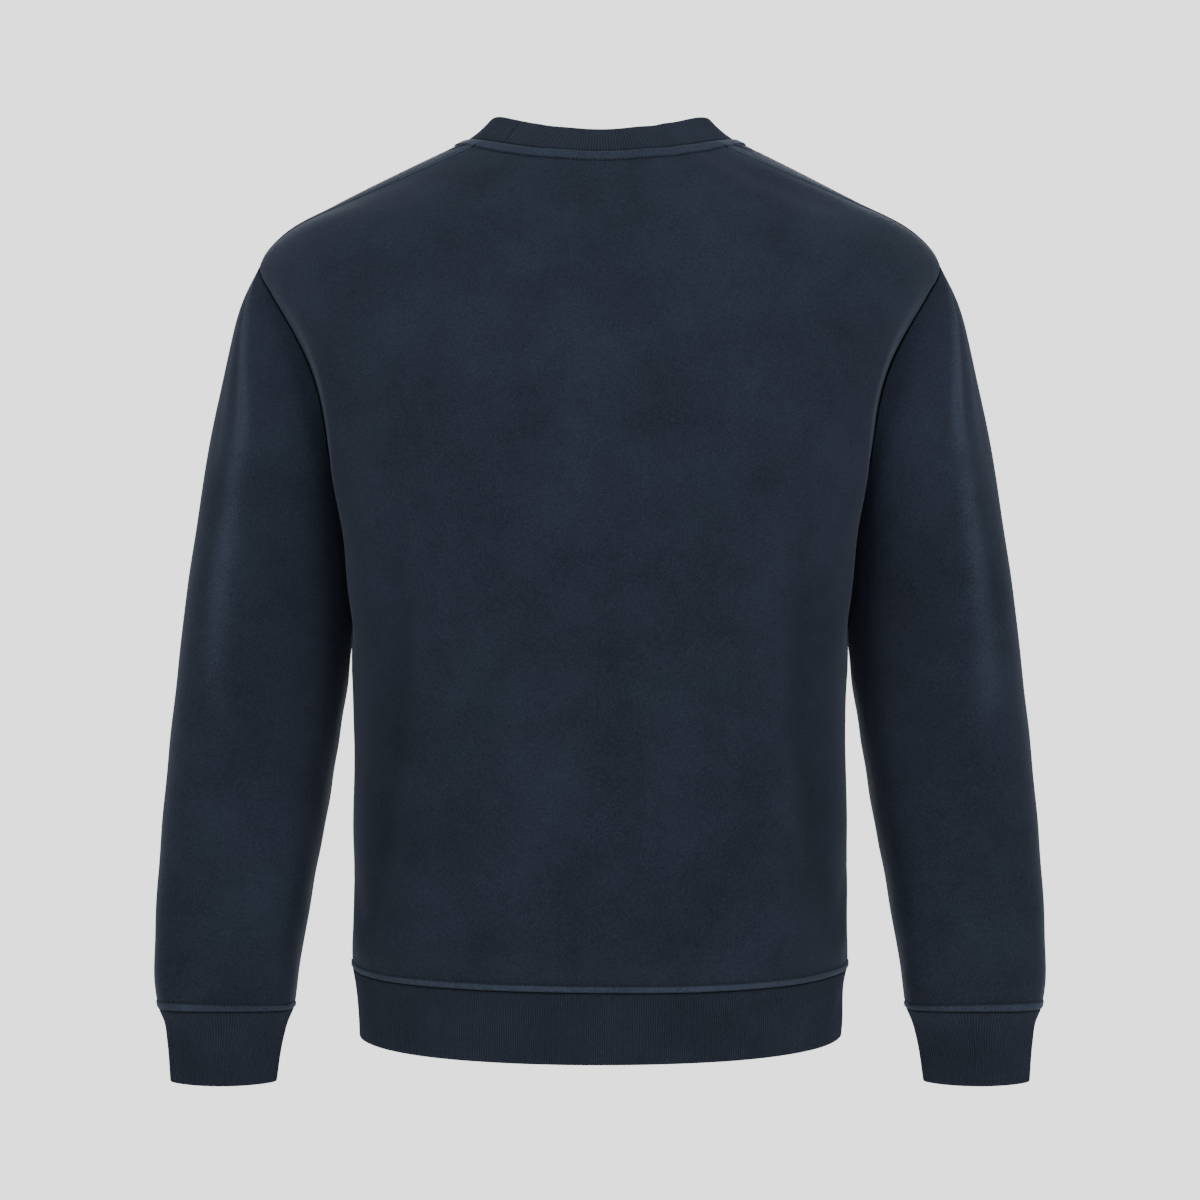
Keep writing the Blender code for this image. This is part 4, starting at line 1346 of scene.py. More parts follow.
    def outward_of(self, form: Callable[[Array, Array], Array], turn: Array, share: Array) -> Array:
        """The outward direction of a form of the left sleeve.

        Args:
            form: points of the form by angle and share.
            turn: angle round the sleeve.
            share: share of its length.

        Returns:
            Directions of length one.
        """
        share = np.asarray(share, float)
        later = np.clip(share + self.probe, 0, 1)
        sooner = np.clip(share - self.probe, 0, 1)
        run = form(turn, later) - form(turn, sooner)
        round_it = form(turn + self.turn_probe, share) - form(turn - self.turn_probe, share)
        return unit(np.cross(run, round_it))

    def detail(self, turn: Array, share: Array) -> Array:
        """Height of the small waves and gathers that only the looks have.

        Args:
            turn: angle round the sleeve.
            share: share of its length.

        Returns:
            The height over the plain form.
        """
        place = np.radians(degrees_apart(turn)) * ARM_RADIUS
        calm = self.calm_height * ripple(place, share * ARM_LENGTH, self.calm_length, 5)
        gathers = self.gathers.lift(place, (1 - share) * self.end_length)
        return calm * soft_step(share / 0.03) + gathers

    def point(self, turn: Array, share: Array) -> Array:
        """Points of the left sleeve's outer face.

        Args:
            turn: angle round the sleeve.
            share: share of its length.

        Returns:
            The points.
        """
        turn, share = np.broadcast_arrays(np.asarray(turn, float), np.asarray(share, float))
        lift = self.folds.height(share, turn) + self.creases.height(share, turn) + self.detail(turn, share)
        return self.form(turn, share) + self.outward_of(self.form, turn, share) * lift[..., None]

    def outward(self, turn: Array, share: Array) -> Array:
        """The outward direction of the finished sleeve."""
        return self.outward_of(self.point, turn, share)

    def build(self, side: Side, materials: Materials) -> bpy.types.Object:
        """Makes one sleeve.

        Args:
            side: which of the wearer's sides it is on.
            materials: the fleece's smooth face and its brushed inside.

        Returns:
            The sleeve.
        """
        end = 1 - np.array(self.cuff_rows) * CUFF_BAND.width / self.end_length
        middle = np.linspace(self.start_rows[-1], end[0], self.rows + 1)
        share = np.concatenate([self.start_rows[:-1], middle, end[1:]])
        turn, share = np.meshgrid(np.linspace(0, 360, self.columns + 1), share)
        face = self.point(turn, share)
        out = self.outward(turn, share)
        from_seam = np.linalg.norm(face - face[:1], axis=-1)
        from_cuff = (1 - share) * self.end_length
        under = np.radians(np.abs(degrees_apart(turn - 180))) * UNDER_ARM_RADIUS
        relief = CUFF_BAND.relief(from_cuff) - side_roll(from_seam)
        relief = relief - self.under_seam_depth * hill(under, 1.6 * MM)
        face[0] += unit(face[2] - face[0]) * SEAM_GAP
        points = face + out * relief[..., None]
        if side is Side.RIGHT:
            points = points * np.array(MIRRORED)
        # Painted shade at the cuff seam, in the armhole seam, on the side beside the body and in the seam
        # under the arm.
        shades = [
            CUFF_BAND.shade(from_cuff),
            self.armhole_shade * hill(from_seam, 0.9 * MM),
            self.arm_shade * self.armpit_side(turn, share),
            self.under_seam_shade * hill(under, 1.2 * MM),
        ]
        # Painted highlight along the crests of the creases, together with the cuff band's paleness.
        crest = np.clip(self.creases.height(share, turn) / self.crease_height, 0, 1)
        wear_and_highlight = np.maximum(CUFF_BAND.wear_and_highlight(from_cuff), self.crease_highlight * crest)
        marks = {"wear_and_highlight": wear_and_highlight, "shade": np.maximum.reduce(shades), "hole_shade": CUFF_BAND.hole_shade(from_cuff)}
        uvs = np.stack([np.radians(turn) * ARM_RADIUS, -share * ARM_LENGTH], axis=-1)
        mesh = grid_mesh(points, uvs, marks, closed=True)
        if side is Side.LEFT:
            bmesh.ops.reverse_faces(mesh, faces=mesh.faces[:])
        piece = make_piece(mesh, f"sleeve_{side.value}_cloth", materials)
        give_thickness(piece, self.thickness)
        return piece

    def stitch_lines(self, side: Side) -> list[StitchLine]:
        """The row of stitches above the cuff seam.

        Args:
            side: which of the wearer's sides it is on.

        Returns:
            The row, alone in a list.
        """
        turn = np.linspace(0, 360, 361)
        share = np.full(turn.shape, 1 - CUFF_BAND.stitch_at / self.end_length)
        out = self.outward(turn, share)
        points = self.point(turn, share) + out * CUFF_BAND.thread_lift
        sign = np.array(MIRRORED) if side is Side.RIGHT else np.ones(3)
        return [StitchLine(points * sign, out * sign)]


@dataclass
class RibBand:
    """A folded band of 1x1 rib: its ribbed face, the rounded fold at its free edge and its inner face."""

    name: str
    ribs: int
    columns_per_rib: int
    face: Callable[[Array, Array], Array]
    turns: Array
    tuck_in: float = 1.5 * MM
    rib_height: float = 0.42 * MM
    thickness: float = 3.0 * MM
    length: float = 55 * MM
    probe: float = 0.05
    fold_steps: int = 8
    levels: tuple[float, ...] = (
        0, 0.012, 0.03, 0.055, 0.1, 0.18, 0.27, 0.36, 0.46, 0.56, 0.66, 0.76, 0.86, 0.94,
    )
    join_at: float = -1.0
    join_ribs: float = 0.45
    join_depth: float = 0.4 * MM
    join_shade: float = 0.5

    def rib_lift(self, phase: Array) -> Array:
        """Height of the ribs at a phase, which is a whole number in each valley."""
        wave = 0.5 - 0.5 * np.cos(2 * math.pi * phase)
        return (wave**0.6 - 1) * self.rib_height

    def build(self, materials: Materials, mirrored: bool) -> bpy.types.Object:
        """Makes the band as a closed grid that goes down its face, round the fold and up inside.

        Args:
            materials: the rib's material.
            mirrored: whether it is made on the wearer's other side.

        Returns:
            The band.
        """
        phase = np.linspace(0, self.ribs, self.ribs * self.columns_per_rib + 1)
        steps = np.linspace(0, 1, len(self.turns))
        turns, levels = np.meshgrid(np.interp(phase / self.ribs, steps, self.turns), self.levels)
        face = self.face(turns, levels)
        join = self.join(phase)
        lift = self.rib_lift(phase) * (1 - join) - self.join_depth * join
        seam = levels * self.length
        sunk = self.tuck_in * (1 - soft_step(seam / (1.6 * MM)))
        flat = soft_step((seam - 0.4 * MM) / (1.8 * MM))
        out = self.outward(turns, levels)
        outer = face + out * (lift[None] * flat - sunk)[..., None]
        inner = [face[k] - out[k] * self.thickness for k in (-1, len(levels) // 2, 2, 0)]
        fold = self.fold(face, out[-1], lift)
        points = np.concatenate([outer, np.array(fold), np.array(inner), outer[:1]])
        # Painted shade along the seam that joins the band's ends and where the band's face tucks into the
        # seam at its top.
        shade = np.broadcast_to(self.join_shade * join, points.shape[:2]).copy()
        shade[: len(levels)] = np.maximum(shade[: len(levels)], hill(seam, 1.3 * MM))
        if mirrored:
            points = points * np.array(MIRRORED)
        uvs = np.stack(np.broadcast_arrays(phase[None, :], -arc_lengths(points[:, 0])[:, None]), axis=-1)
        mesh = grid_mesh(points, uvs, {"shade": shade}, closed=True)
        bmesh.ops.remove_doubles(mesh, verts=mesh.verts[:], dist=1e-7)
        bmesh.ops.recalc_face_normals(mesh, faces=mesh.faces[:])
        return make_piece(mesh, self.name, materials)

    def join(self, phase: Array) -> Array:
        """Where the seam lies that joins the band's ends, from 0 to 1.

        Args:
            phase: place round the band, counted in ribs.

        Returns:
            The seam's strength at each place, which is 0 all round if the join doesn't show.
        """
        if self.join_at < 0:
            return np.zeros(phase.shape)
        away = np.abs((phase / self.ribs - self.join_at + 0.5) % 1 - 0.5) * self.ribs
        return hill(away, self.join_ribs)

    def outward(self, turns: Array, levels: Array) -> Array:
        """The outward direction of the band's face.

        Args:
            turns: angle of each point of the grid.
            levels: level of each point of the grid.

        Returns:
            Directions of length one.
        """
        face = self.face(turns, levels)
        round_it = self.face(turns + self.probe, levels) - self.face(turns - self.probe, levels)
        out = unit(np.cross(np.gradient(face, axis=0), round_it))
        spread = out[-1] * (face[-1] - face.mean(axis=(0, 1)))
        return -out if spread.sum(-1).mean() < 0 else out

    def fold(self, face: Array, out: Array, lift: Array) -> list[Array]:
        """The rows of the rounded fold at the band's free edge.

        Args:
            face: points of the band's outer face.
            out: outward directions of its last row.
            lift: height of the ribs at each column.

        Returns:
            The rows, from the outer face round to the inner one.
        """
        radius = self.thickness / 2
        down = unit(face[-1] - face[-2])
        core = face[-1] - out * radius
        rest = (1 - self.levels[-1]) * self.length - radius
        rows = []
        for turned in np.linspace(0, math.pi, self.fold_steps):
            reach = radius + lift * (1 - 0.5 * (1 - math.cos(turned)))
            aside = out * (math.cos(turned) * reach)[:, None]
            rows.append(core + down * (rest + math.sin(turned) * reach)[:, None] + aside)
        return rows


def even_turns(line: Callable[[Array], Array], count: int = 2400) -> Array:
    """Angles at even steps of length along a closed line.

    Args:
        line: points of the line by angle in degrees.
        count: how many steps are measured and returned.

    Returns:
        Angles from 0 to 360.
    """
    turns = np.linspace(0, 360, count + 1)
    along = arc_lengths(line(turns))
    return np.interp(np.linspace(0, along[-1], count + 1), along, turns)


@dataclass
class Hem:
    """The rib band at the bottom of the body."""

    torso: Torso
    bottom_side: float = -679.5 * MM
    bottom_sag: float = 9.5 * MM
    swell: float = 0.5 * MM
    swell_length: float = 60 * MM
    ribs: int = 560

    def seam(self, angle: Array) -> Array:
        """Points of the hem seam."""
        return self.torso.point(angle, self.torso.hem_seam_height(angle))

    def face(self, angle: Array, level: Array) -> Array:
        """Points of the band's outer face.

        Args:
            angle: angle on the cloth.
            level: place between the seam (0) and the free edge (1).

        Returns:
            The points.
        """
        base = self.seam(angle)
        x, y = level_ring(HEM_SIZES, level, angle)
        x_top, y_top = level_ring(HEM_SIZES, np.zeros_like(level), angle)
        bottom = self.bottom_side - self.bottom_sag * np.abs(np.cos(np.radians(angle))) ** 1.4
        fade = (1 - level) ** 2
        z = base[..., 2] + (bottom - base[..., 2]) * level
        place = np.radians(degrees_apart(angle)) * BODY_RADIUS
        swell = self.swell * ripple(place, z, self.swell_length, 11)
        swell = swell * np.sin(math.pi * np.clip(level, 0, 1)) ** 0.5
        scale = 1 + swell / (150 * MM)
        x = (x + (base[..., 0] - x_top) * fade) * scale
        y = (y + (base[..., 1] - y_top) * fade) * scale
        return np.stack([x, y, z], axis=-1)

    def build(self, materials: Materials) -> bpy.types.Object:
        """Makes the hem.

        Args:
            materials: the rib's material.

        Returns:
            The band.
        """
        turns = even_turns(lambda turn: self.face(turn, np.full(turn.shape, 0.4)))
        band = RibBand("hem_rib_cloth", self.ribs, 5, self.face, turns)
        return band.build(materials, mirrored=False)


@dataclass
class Cuff:
    """The rib band at the end of a sleeve, made on the wearer's left."""

    sleeve: Sleeve
    bottom_side: float = -718.0 * MM
    bottom_sag: float = 1.5 * MM
    ribs: int = 122
    length: float = 59 * MM

    def face(self, turn: Array, level: Array) -> Array:
        """Points of the band's outer face.

        Args:
            turn: angle round the sleeve.
            level: place between the seam (0) and the free edge (1).

        Returns:
            The points.
        """
        base = self.sleeve.point(turn, np.ones_like(level))
        x, y = self.ring(turn, level)
        x_top, y_top = self.ring(turn, np.zeros_like(level))
        bottom = self.bottom_side - self.bottom_sag * np.sin(np.radians(turn)) ** 2
        fade = (1 - level) ** 2
        z = base[..., 2] + (bottom - base[..., 2]) * level
        x = x + (base[..., 0] - x_top) * fade
        y = y + (base[..., 1] - y_top) * fade
        return np.stack([x, y, z], axis=-1)

    def ring(self, turn: Array, level: Array) -> Pair:
        """A level section of the cuff.

        Args:
            turn: angle round the cuff.
            level: place between its seam (0) and its free edge (1).

        Returns:
            x and y of the points, in metres.
        """
        names = ("outer", "inner", "back", "front")
        outer, inner, back, front = (CUFF_SIZES.read(name, level) * MM for name in names)
        x = (outer + inner) / 2 + (outer - inner) / 2 * np.cos(np.radians(turn))
        y = (back + front) / 2 + (back - front) / 2 * np.sin(np.radians(turn))
        return x, y

    def build(self, side: Side, materials: Materials) -> bpy.types.Object:
        """Makes one cuff.

        Args:
            side: which of the wearer's sides it is on.
            materials: the rib's material.

        Returns:
            The band.
        """
        turns = even_turns(lambda turn: self.face(turn, np.full(turn.shape, 0.5)))
        band = RibBand(f"cuff_{side.value}_cloth", self.ribs, 6, self.face, turns, length=self.length)
        return band.build(materials, side is Side.RIGHT)


@dataclass
class Collar:
    """The rib band round the neck."""

    torso: Torso
    join_x: float = 72 * MM
    ribs: int = 296
    length: float = 25 * MM
    centre: tuple[float, float, float] = (0.0, -6 * MM, 0.0)

    def seam(self, turn: Array) -> Array:
        """Points of the neck seam.

        Args:
            turn: angle round the neck, more than 0 on the wearer's left.

        Returns:
            The points.
        """
        turned = np.abs(degrees_apart(turn))
        side = np.where(degrees_apart(turn) < 0, -1.0, 1.0)
        angle, height = self.torso.neck_seam(turned)
        return self.torso.point(angle * side, height)

    def face(self, turn: Array, level: Array) -> Array:
        """Points of the band's outer face.

        Args:
            turn: angle round the neck.
            level: place between the seam (0) and the rim (1).

        Returns:
            The points.
        """
        turned = np.abs(degrees_apart(turn))
        base = self.seam(turn)
        flat = unit((np.array(self.centre) - base) * np.array([1.0, 1.0, 0.0]))
        inward = COLLAR_SIZES.read("inward", turned)[..., None] * MM
        rise = COLLAR_SIZES.read("rise", turned)[..., None] * MM
        top = flat * inward + np.array([0.0, 0.0, 1.0]) * rise
        bulge = COLLAR_SIZES.read("bulge", turned) * MM * 4 * level * (1 - level)
        return base + top * level[..., None] - flat * bulge[..., None]

    def build(self, materials: Materials) -> bpy.types.Object:
        """Makes the collar, with the short seam that joins its ends.

        Args:
            materials: the rib's material.

        Returns:
            The band.
        """
        turns = even_turns(lambda turn: self.face(turn, np.full(turn.shape, 0.6)))
        seam = self.seam(turns)
        near = np.where(seam[:, 1] > 0, np.abs(seam[:, 0] - self.join_x), FAR_AWAY)
        join_at = float(np.argmin(near)) / (len(turns) - 1)
        band = RibBand("neck_rib_cloth", self.ribs, 6, self.face, turns, length=self.length, join_at=join_at)
        return band.build(materials, mirrored=False)


def along_line(places: Array, lengths: Array, rows: Array) -> Array:
    """Reads points or directions of a line at places along it.

    Args:
        places: how far along the line each is read, in metres.
        lengths: how far along the line each row lies.
        rows: the line's points or directions.

    Returns:
        One row for each place.
    """
    return np.stack([np.interp(places, lengths, rows[:, k]) for k in range(3)], -1)


@dataclass
class Thread:
    """A row of separate stitches of sewing thread."""

    stitch: float = 1.5 * MM
    pause: float = 0.8 * MM
    radius: float = 0.24 * MM

    def build(self, name: str, lines: list[StitchLine], material: bpy.types.Material) -> bpy.types.Object:
        """Makes all the stitches of some lines as one object.

        Args:
            name: name of the piece.
            lines: where they run.
            material: the thread's material.

        Returns:
            The stitches.
        """
        one = bmesh.new()
        bmesh.ops.create_icosphere(one, subdivisions=1, radius=1.0)
        ball = np.array([vert.co for vert in one.verts])
        corners = np.array([[vert.index for vert in face.verts] for face in one.faces])
        one.free()
        places = []
        for line in lines:
            along = arc_lengths(line.points)
            count = max(int(along[-1] / (self.stitch + self.pause)), 1)
            middle = (np.arange(count) + 0.5) * along[-1] / count
            half = self.stitch / 2
            first = along_line(middle - half, along, line.points)
            last = along_line(middle + half, along, line.points)
            out = unit(along_line(middle, along, line.outward))
            run = unit(last - first)
            aside = unit(np.cross(out, run))
            axes = np.stack([run * half, aside * self.radius, out * self.radius], axis=1)
            places.append(((first + last) / 2)[:, None] + np.einsum("vk,nkc->nvc", ball, axes))
        verts = np.concatenate(places)
        shift = np.arange(len(verts))[:, None, None] * len(ball)
        faces = (corners[None] + shift).reshape(-1, 3)
        data = bpy.data.meshes.new(name)
        data.from_pydata(verts.reshape(-1, 3).tolist(), [], faces.tolist())
        data.shade_smooth()
        data.materials.append(material)
        piece = bpy.data.objects.new(name, data)
        bpy.context.scene.collection.objects.link(piece)
        return piece


@dataclass(frozen=True)
class Value:
    """A number in a material's nodes, which Python's operators work on."""

    graph: "Graph"
    socket: bpy.types.NodeSocket

    def _with(self, operation: str, other: "Value | float", swapped: bool = False) -> "Value":
        """Adds a Math node for this value and another."""
        pair = (other, self) if swapped else (self, other)
        return self.graph.maths(operation, *pair)

    def __add__(self, other: "Value | float") -> "Value":
        """The sum."""
        return self._with("ADD", other)

    def __radd__(self, other: float) -> "Value":
        """The sum with a number before it."""
        return self._with("ADD", other, True)

    def __sub__(self, other: "Value | float") -> "Value":
        """The difference."""
        return self._with("SUBTRACT", other)

    def __rsub__(self, other: float) -> "Value":
        """A number less this value."""
        return self._with("SUBTRACT", other, True)

    def __mul__(self, other: "Value | float") -> "Value":
        """The product."""
        return self._with("MULTIPLY", other)

    def __rmul__(self, other: float) -> "Value":
        """A number times this value."""
        return self._with("MULTIPLY", other, True)

    def __pow__(self, other: "Value | float") -> "Value":
        """This value to a power."""
        return self._with("POWER", other)

    def sine(self) -> "Value":
        """The sine of this value, in radians."""
        return self.graph.maths("SINE", self)

    def fraction(self) -> "Value":
        """What is left of this value over a whole number."""
        return self.graph.maths("FRACT", self)

    def size(self) -> "Value":
        """This value without its sign."""
        return self.graph.maths("ABSOLUTE", self)


Colour = tuple[float, ...] | bpy.types.NodeSocket


class Graph:
    """Builds one material's nodes."""

    def __init__(self, name: str) -> None:
        """Makes the material with its Principled shader.

        Args:
            name: name of the material.
        """
        self.material = bpy.data.materials.new(name)
        self.material.use_nodes = True
        self.nodes = self.material.node_tree.nodes
        self.links = self.material.node_tree.links
        self.shader = self.nodes["Principled BSDF"]

    def add(self, kind: str, settings: dict, inputs: dict) -> bpy.types.Node:
        """Adds a node.

        Args:
            kind: the node's type.
            settings: its properties, which are set first.
            inputs: values, links or other nodes' sockets by the name or number of its own socket.

        Returns:
            The node.
        """
        node = self.nodes.new(kind)
        for name, value in settings.items():
            setattr(node, name, value)
        for name, value in inputs.items():
            self.feed(node.inputs[name], value)
        return node

    def feed(self, socket: bpy.types.NodeSocket, value: object) -> None:
        """Sets a socket, or links it.

        Args:
            socket: the socket to feed.
            value: a number, a colour, a value of the graph or another node's socket.
        """
        if isinstance(value, Value):
            self.links.new(value.socket, socket)
        elif isinstance(value, bpy.types.NodeSocket):
            self.links.new(value, socket)
        else:
            socket.default_value = value

    def maths(self, operation: str, *values: "Value | float") -> Value:
        """Adds a Math node on one to three values."""
        inputs = dict(enumerate(values))
        return Value(self, self.add("ShaderNodeMath", {"operation": operation}, inputs).outputs[0])

    def noise(self, place: bpy.types.NodeSocket, scale: float, detail: float, rough: float = 0.5) -> Value:
        """Adds a noise, between 0 and 1, at a scale per metre."""
        inputs = {"Vector": place, "Scale": scale, "Detail": detail, "Roughness": rough}
        return Value(self, self.add("ShaderNodeTexNoise", {}, inputs).outputs[0])

    def attribute(self, name: str) -> Value:
        """Reads a number that the mesh carries at each vertex."""
        return Value(self, self.add("ShaderNodeAttribute", {"attribute_name": name}, {}).outputs["Fac"])

    def blend(self, mask: Value, low: Colour, high: tuple[float, ...]) -> bpy.types.NodeSocket:
        """A colour between two others.

        Args:
            mask: how much of the second colour there is, from 0 to 1.
            low: the first colour, as numbers or from another node.
            high: the second colour.

        Returns:
            The mixed colour's socket.
        """
        start = low if isinstance(low, bpy.types.NodeSocket) else (*low, 1.0)
        inputs = {0: mask, 6: start, 7: (*high, 1.0)}
        settings = {"data_type": "RGBA", "clamp_factor": True}
        return self.add("ShaderNodeMix", settings, inputs).outputs[2]

    def scaled(self, colour: bpy.types.NodeSocket, by: Value) -> bpy.types.NodeSocket:
        """A colour times a value."""
        settings = {"operation": "SCALE"}
        return self.add("ShaderNodeVectorMath", settings, {0: colour, "Scale": by}).outputs[0]

    def bump(self, height: Value, distance: float, strength: float) -> bpy.types.NodeSocket:
        """A normal from a height between 0 and 1 that stands for a distance in metres."""
        inputs = {"Height": height, "Distance": distance, "Strength": strength}
        return self.add("ShaderNodeBump", {}, inputs).outputs[0]

    def place(self) -> bpy.types.NodeSocket:
        """The place on the object, in metres."""
        return self.add("ShaderNodeTexCoord", {}, {}).outputs["Object"]

    def height(self, place: bpy.types.NodeSocket) -> Value:
        """The height of a place, in metres."""
        return Value(self, self.add("ShaderNodeSeparateXYZ", {}, {0: place}).outputs["Z"])

    def cloth_place(self) -> tuple[Value, Value]:
        """The place on the flat cloth.

        Returns:
            How far across it and how far up it each point lies.
        """
        uv = self.add("ShaderNodeUVMap", {"uv_map": "cloth"}, {}).outputs[0]
        parts = self.add("ShaderNodeSeparateXYZ", {}, {0: uv}).outputs
        return Value(self, parts[0]), Value(self, parts[1])

    def finish(
        self, colour: object, normal: object, roughness: object, constants: dict[str, object]
    ) -> bpy.types.Material:
        """Feeds the shader.

        Args:
            colour: the colour's socket.
            normal: the normal's socket, or None.
            roughness: a number or value.
            constants: numbers and colours by the name of the shader's socket.

        Returns:
            The material.
        """
        self.feed(self.shader.inputs["Base Color"], colour)
        self.feed(self.shader.inputs["Roughness"], roughness)
        if normal is not None:
            self.feed(self.shader.inputs["Normal"], normal)
        for name, value in constants.items():
            self.shader.inputs[name].default_value = value
        return self.material


# Depth below the origin at which the tone is neither lightened nor darkened by height.
EVEN_TONE_DEPTH = 0.33


def soft_shine(sheen: float, roughness: float, specular: float) -> dict[str, object]:
    """Shader settings of cloth whose loose fibres catch light from the side.

    Args:
        sheen: strength of the light on the fibres.
        roughness: how widely they spread it.
        specular: strength of the plain reflection.

    Returns:
        Numbers and a colour by the name of the shader's socket.
    """
    return {
        "Sheen Weight": sheen,
        "Sheen Roughness": roughness,
        "Sheen Tint": (0.62, 0.72, 0.90, 1.0),
        "Specular IOR Level": specular,
    }


@dataclass(frozen=True)
class Fleece:
    """The smooth knitted face of the sweatshirt's cloth, washed until its colour is slightly cloudy."""

    name: str = "navy_fleece_face"
    colour: tuple[float, float, float] = (0.0230, 0.0310, 0.0496)
    indigo: tuple[float, float, float] = (0.0246, 0.0306, 0.0516)
    # The pale colour of seam bands paled by rubbing and of the painted highlights on crests.
    worn_and_highlight: tuple[float, float, float] = (0.0520, 0.0656, 0.1010)
    wale: float = 1.15 * MM
    course: float = 0.95 * MM
    clouds: float = 0.55
    cloud_scale: float = 14.0
    speckle: float = 0.52
    speckle_scale: float = 560.0
    fuzz: float = 0.66
    fuzz_scale: float = 1350.0
    dye_scale: float = 8.0
    knit_depth: float = 0.22 * MM
    # How much lighter the cloth is towards the top and darker towards the bottom.
    tone_by_height: float = 0.34
    # Strength of the painted shade that the shade mark carries.
    shade_strength: float = 0.85
    stitch: float = 2.3 * MM
    # Strength of the painted shade in dashes where the needle went through.
    hole_shade_strength: float = 0.8

    def build(self) -> bpy.types.Material:
        """Makes the material.

        Returns:
            The material.
        """
        graph = Graph(self.name)
        place = graph.place()
        across, down = graph.cloth_place()
        clouds = graph.noise(place, self.cloud_scale, 8.0, 0.66)
        speckle = graph.noise(place, self.speckle_scale, 3.0, 0.75)
        fuzz = graph.noise(place, self.fuzz_scale, 2.0, 0.6)
        wear_and_highlight = graph.attribute("wear_and_highlight")
        # Painted shade: dashes where the needle went through, and the shade mark of seams, troughs and
        # flanks.
        dashed_shade = ((across * (1 / self.stitch)).fraction() - 0.5).size() * 2.0
        dashed_shade = dashed_shade**1.6 * graph.attribute("hole_shade")
        lit = graph.attribute("shade") * -self.shade_strength + 1.0
        lit = lit * (dashed_shade * -self.hole_shade_strength + 1.0)
        leaning = ((across * (1 / self.wale)).fraction() - 0.5).size()
        rows = (down * (2 * math.pi / self.course) + leaning * 5.0).sine()
        knit = leaning * -1.0 + rows * 0.22
        grain = knit * 0.5 + speckle * 1.2 + fuzz * 0.5
        dye = graph.noise(place, self.dye_scale, 3.0)
        base = graph.blend((dye - 0.38) * 4.0, self.colour, self.indigo)
        # The pale colour goes where seam bands are paled by rubbing and where painted highlights lie on
        # crests.
        base = graph.blend(wear_and_highlight, base, self.worn_and_highlight)
        uneven = (speckle - 0.5) * (2 * self.speckle) + (fuzz - 0.5) * (2 * self.fuzz)
        # Lighter towards the top and darker towards the bottom.
        toned_by_height = (graph.height(place) + EVEN_TONE_DEPTH) * self.tone_by_height
        tone = (clouds - 0.5) * (2 * self.clouds) + uneven + toned_by_height + 1.0
        normal = graph.bump(grain, self.knit_depth, 0.8)
        return graph.finish(graph.scaled(base, tone * lit), normal, 0.92, soft_shine(0.22, 0.45, 0.18))


@dataclass(frozen=True)
class BrushedInside:
    """The raised, soft inside of the fleece."""

    name: str = "navy_fleece_inside"
    colour: tuple[float, float, float] = (0.030, 0.041, 0.062)
    tufts: tuple[float, float, float] = (0.052, 0.066, 0.092)
    nap_depth: float = 1.0 * MM

    def build(self) -> bpy.types.Material:
        """Makes the material.

        Returns:
            The material.
        """
        graph = Graph(self.name)
        place = graph.place()
        tufts = graph.noise(place, 380.0, 4.0, 0.65)
        clouds = graph.noise(place, 30.0, 3.0)
        nap = tufts * 0.8 + clouds * 0.4
        colour = graph.blend((nap - 0.35) * 1.8, self.colour, self.tufts)
        return graph.finish(colour, graph.bump(nap, self.nap_depth, 0.9), 0.97, soft_shine(0.5, 0.35, 0.1))


@dataclass(frozen=True)
class Ribbing:
    """1x1 rib: raised knit columns with painted shade in the valleys between them."""

    name: str = "navy_rib_knit"
    colour: tuple[float, float, float] = (0.0330, 0.0423, 0.0660)
    # The valleys' colour is painted shade.
    valley: tuple[float, float, float] = (0.0136, 0.0178, 0.0296)
    course: float = 1.3 * MM
    clouds: float = 0.8
    speckle: float = 1.1
    # How much lighter the rib is towards the top and darker towards the bottom.
    tone_by_height: float = 0.30
    # Strength of the painted shade at the seams.
    shade_strength: float = 0.8
    knit_depth: float = 0.25 * MM

    def build(self) -> bpy.types.Material:
        """Makes the material.

        Returns:
            The material.
        """
        graph = Graph(self.name)
        place = graph.place()
        ribs, down = graph.cloth_place()
        centre = ((ribs.fraction() - 0.5).size() * -2.0) + 1.0
        leaning = (centre * -1.0 + 1.0).size()
        rows = (down * (2 * math.pi / self.course) + leaning * 4.0).sine()
        speckle = graph.noise(place, 700.0, 3.0, 0.7)
        clouds = graph.noise(place, 18.0, 5.0, 0.6)
        height = centre * 0.3 + rows * 0.3 * centre + speckle * 0.7
        # Painted shade: the valleys between the ribs are darker, and so are the seams by the shade mark.
        base = graph.blend(centre**0.7, self.valley, self.colour)
        lit = graph.attribute("shade") * -self.shade_strength + 1.0
        # Lighter towards the top and darker towards the bottom.
        toned_by_height = (graph.height(place) + EVEN_TONE_DEPTH) * self.tone_by_height
        tone = (clouds - 0.5) * self.clouds + (speckle - 0.5) * self.speckle + toned_by_height + 1.0
        normal = graph.bump(height, self.knit_depth, 0.8)
        return graph.finish(graph.scaled(base, tone * lit), normal, 0.92, soft_shine(0.18, 0.45, 0.18))


@dataclass(frozen=True)
class SewingThread:
    """Spun sewing thread, a little lighter than the cloth."""

    name: str = "navy_thread"
    colour: tuple[float, float, float] = (0.022, 0.029, 0.045)

    def build(self) -> bpy.types.Material:
        """Makes the material.

        Returns:
            The material.
        """
        graph = Graph(self.name)
        twist = graph.noise(graph.place(), 2600.0, 2.0)
        colour = graph.scaled(graph.blend(twist, self.colour, self.colour), twist * 0.6 + 0.7)
        constants = {"Sheen Weight": 0.2, "Specular IOR Level": 0.35}
        return graph.finish(colour, graph.bump(twist, 0.1 * MM, 0.6), 0.7, constants)


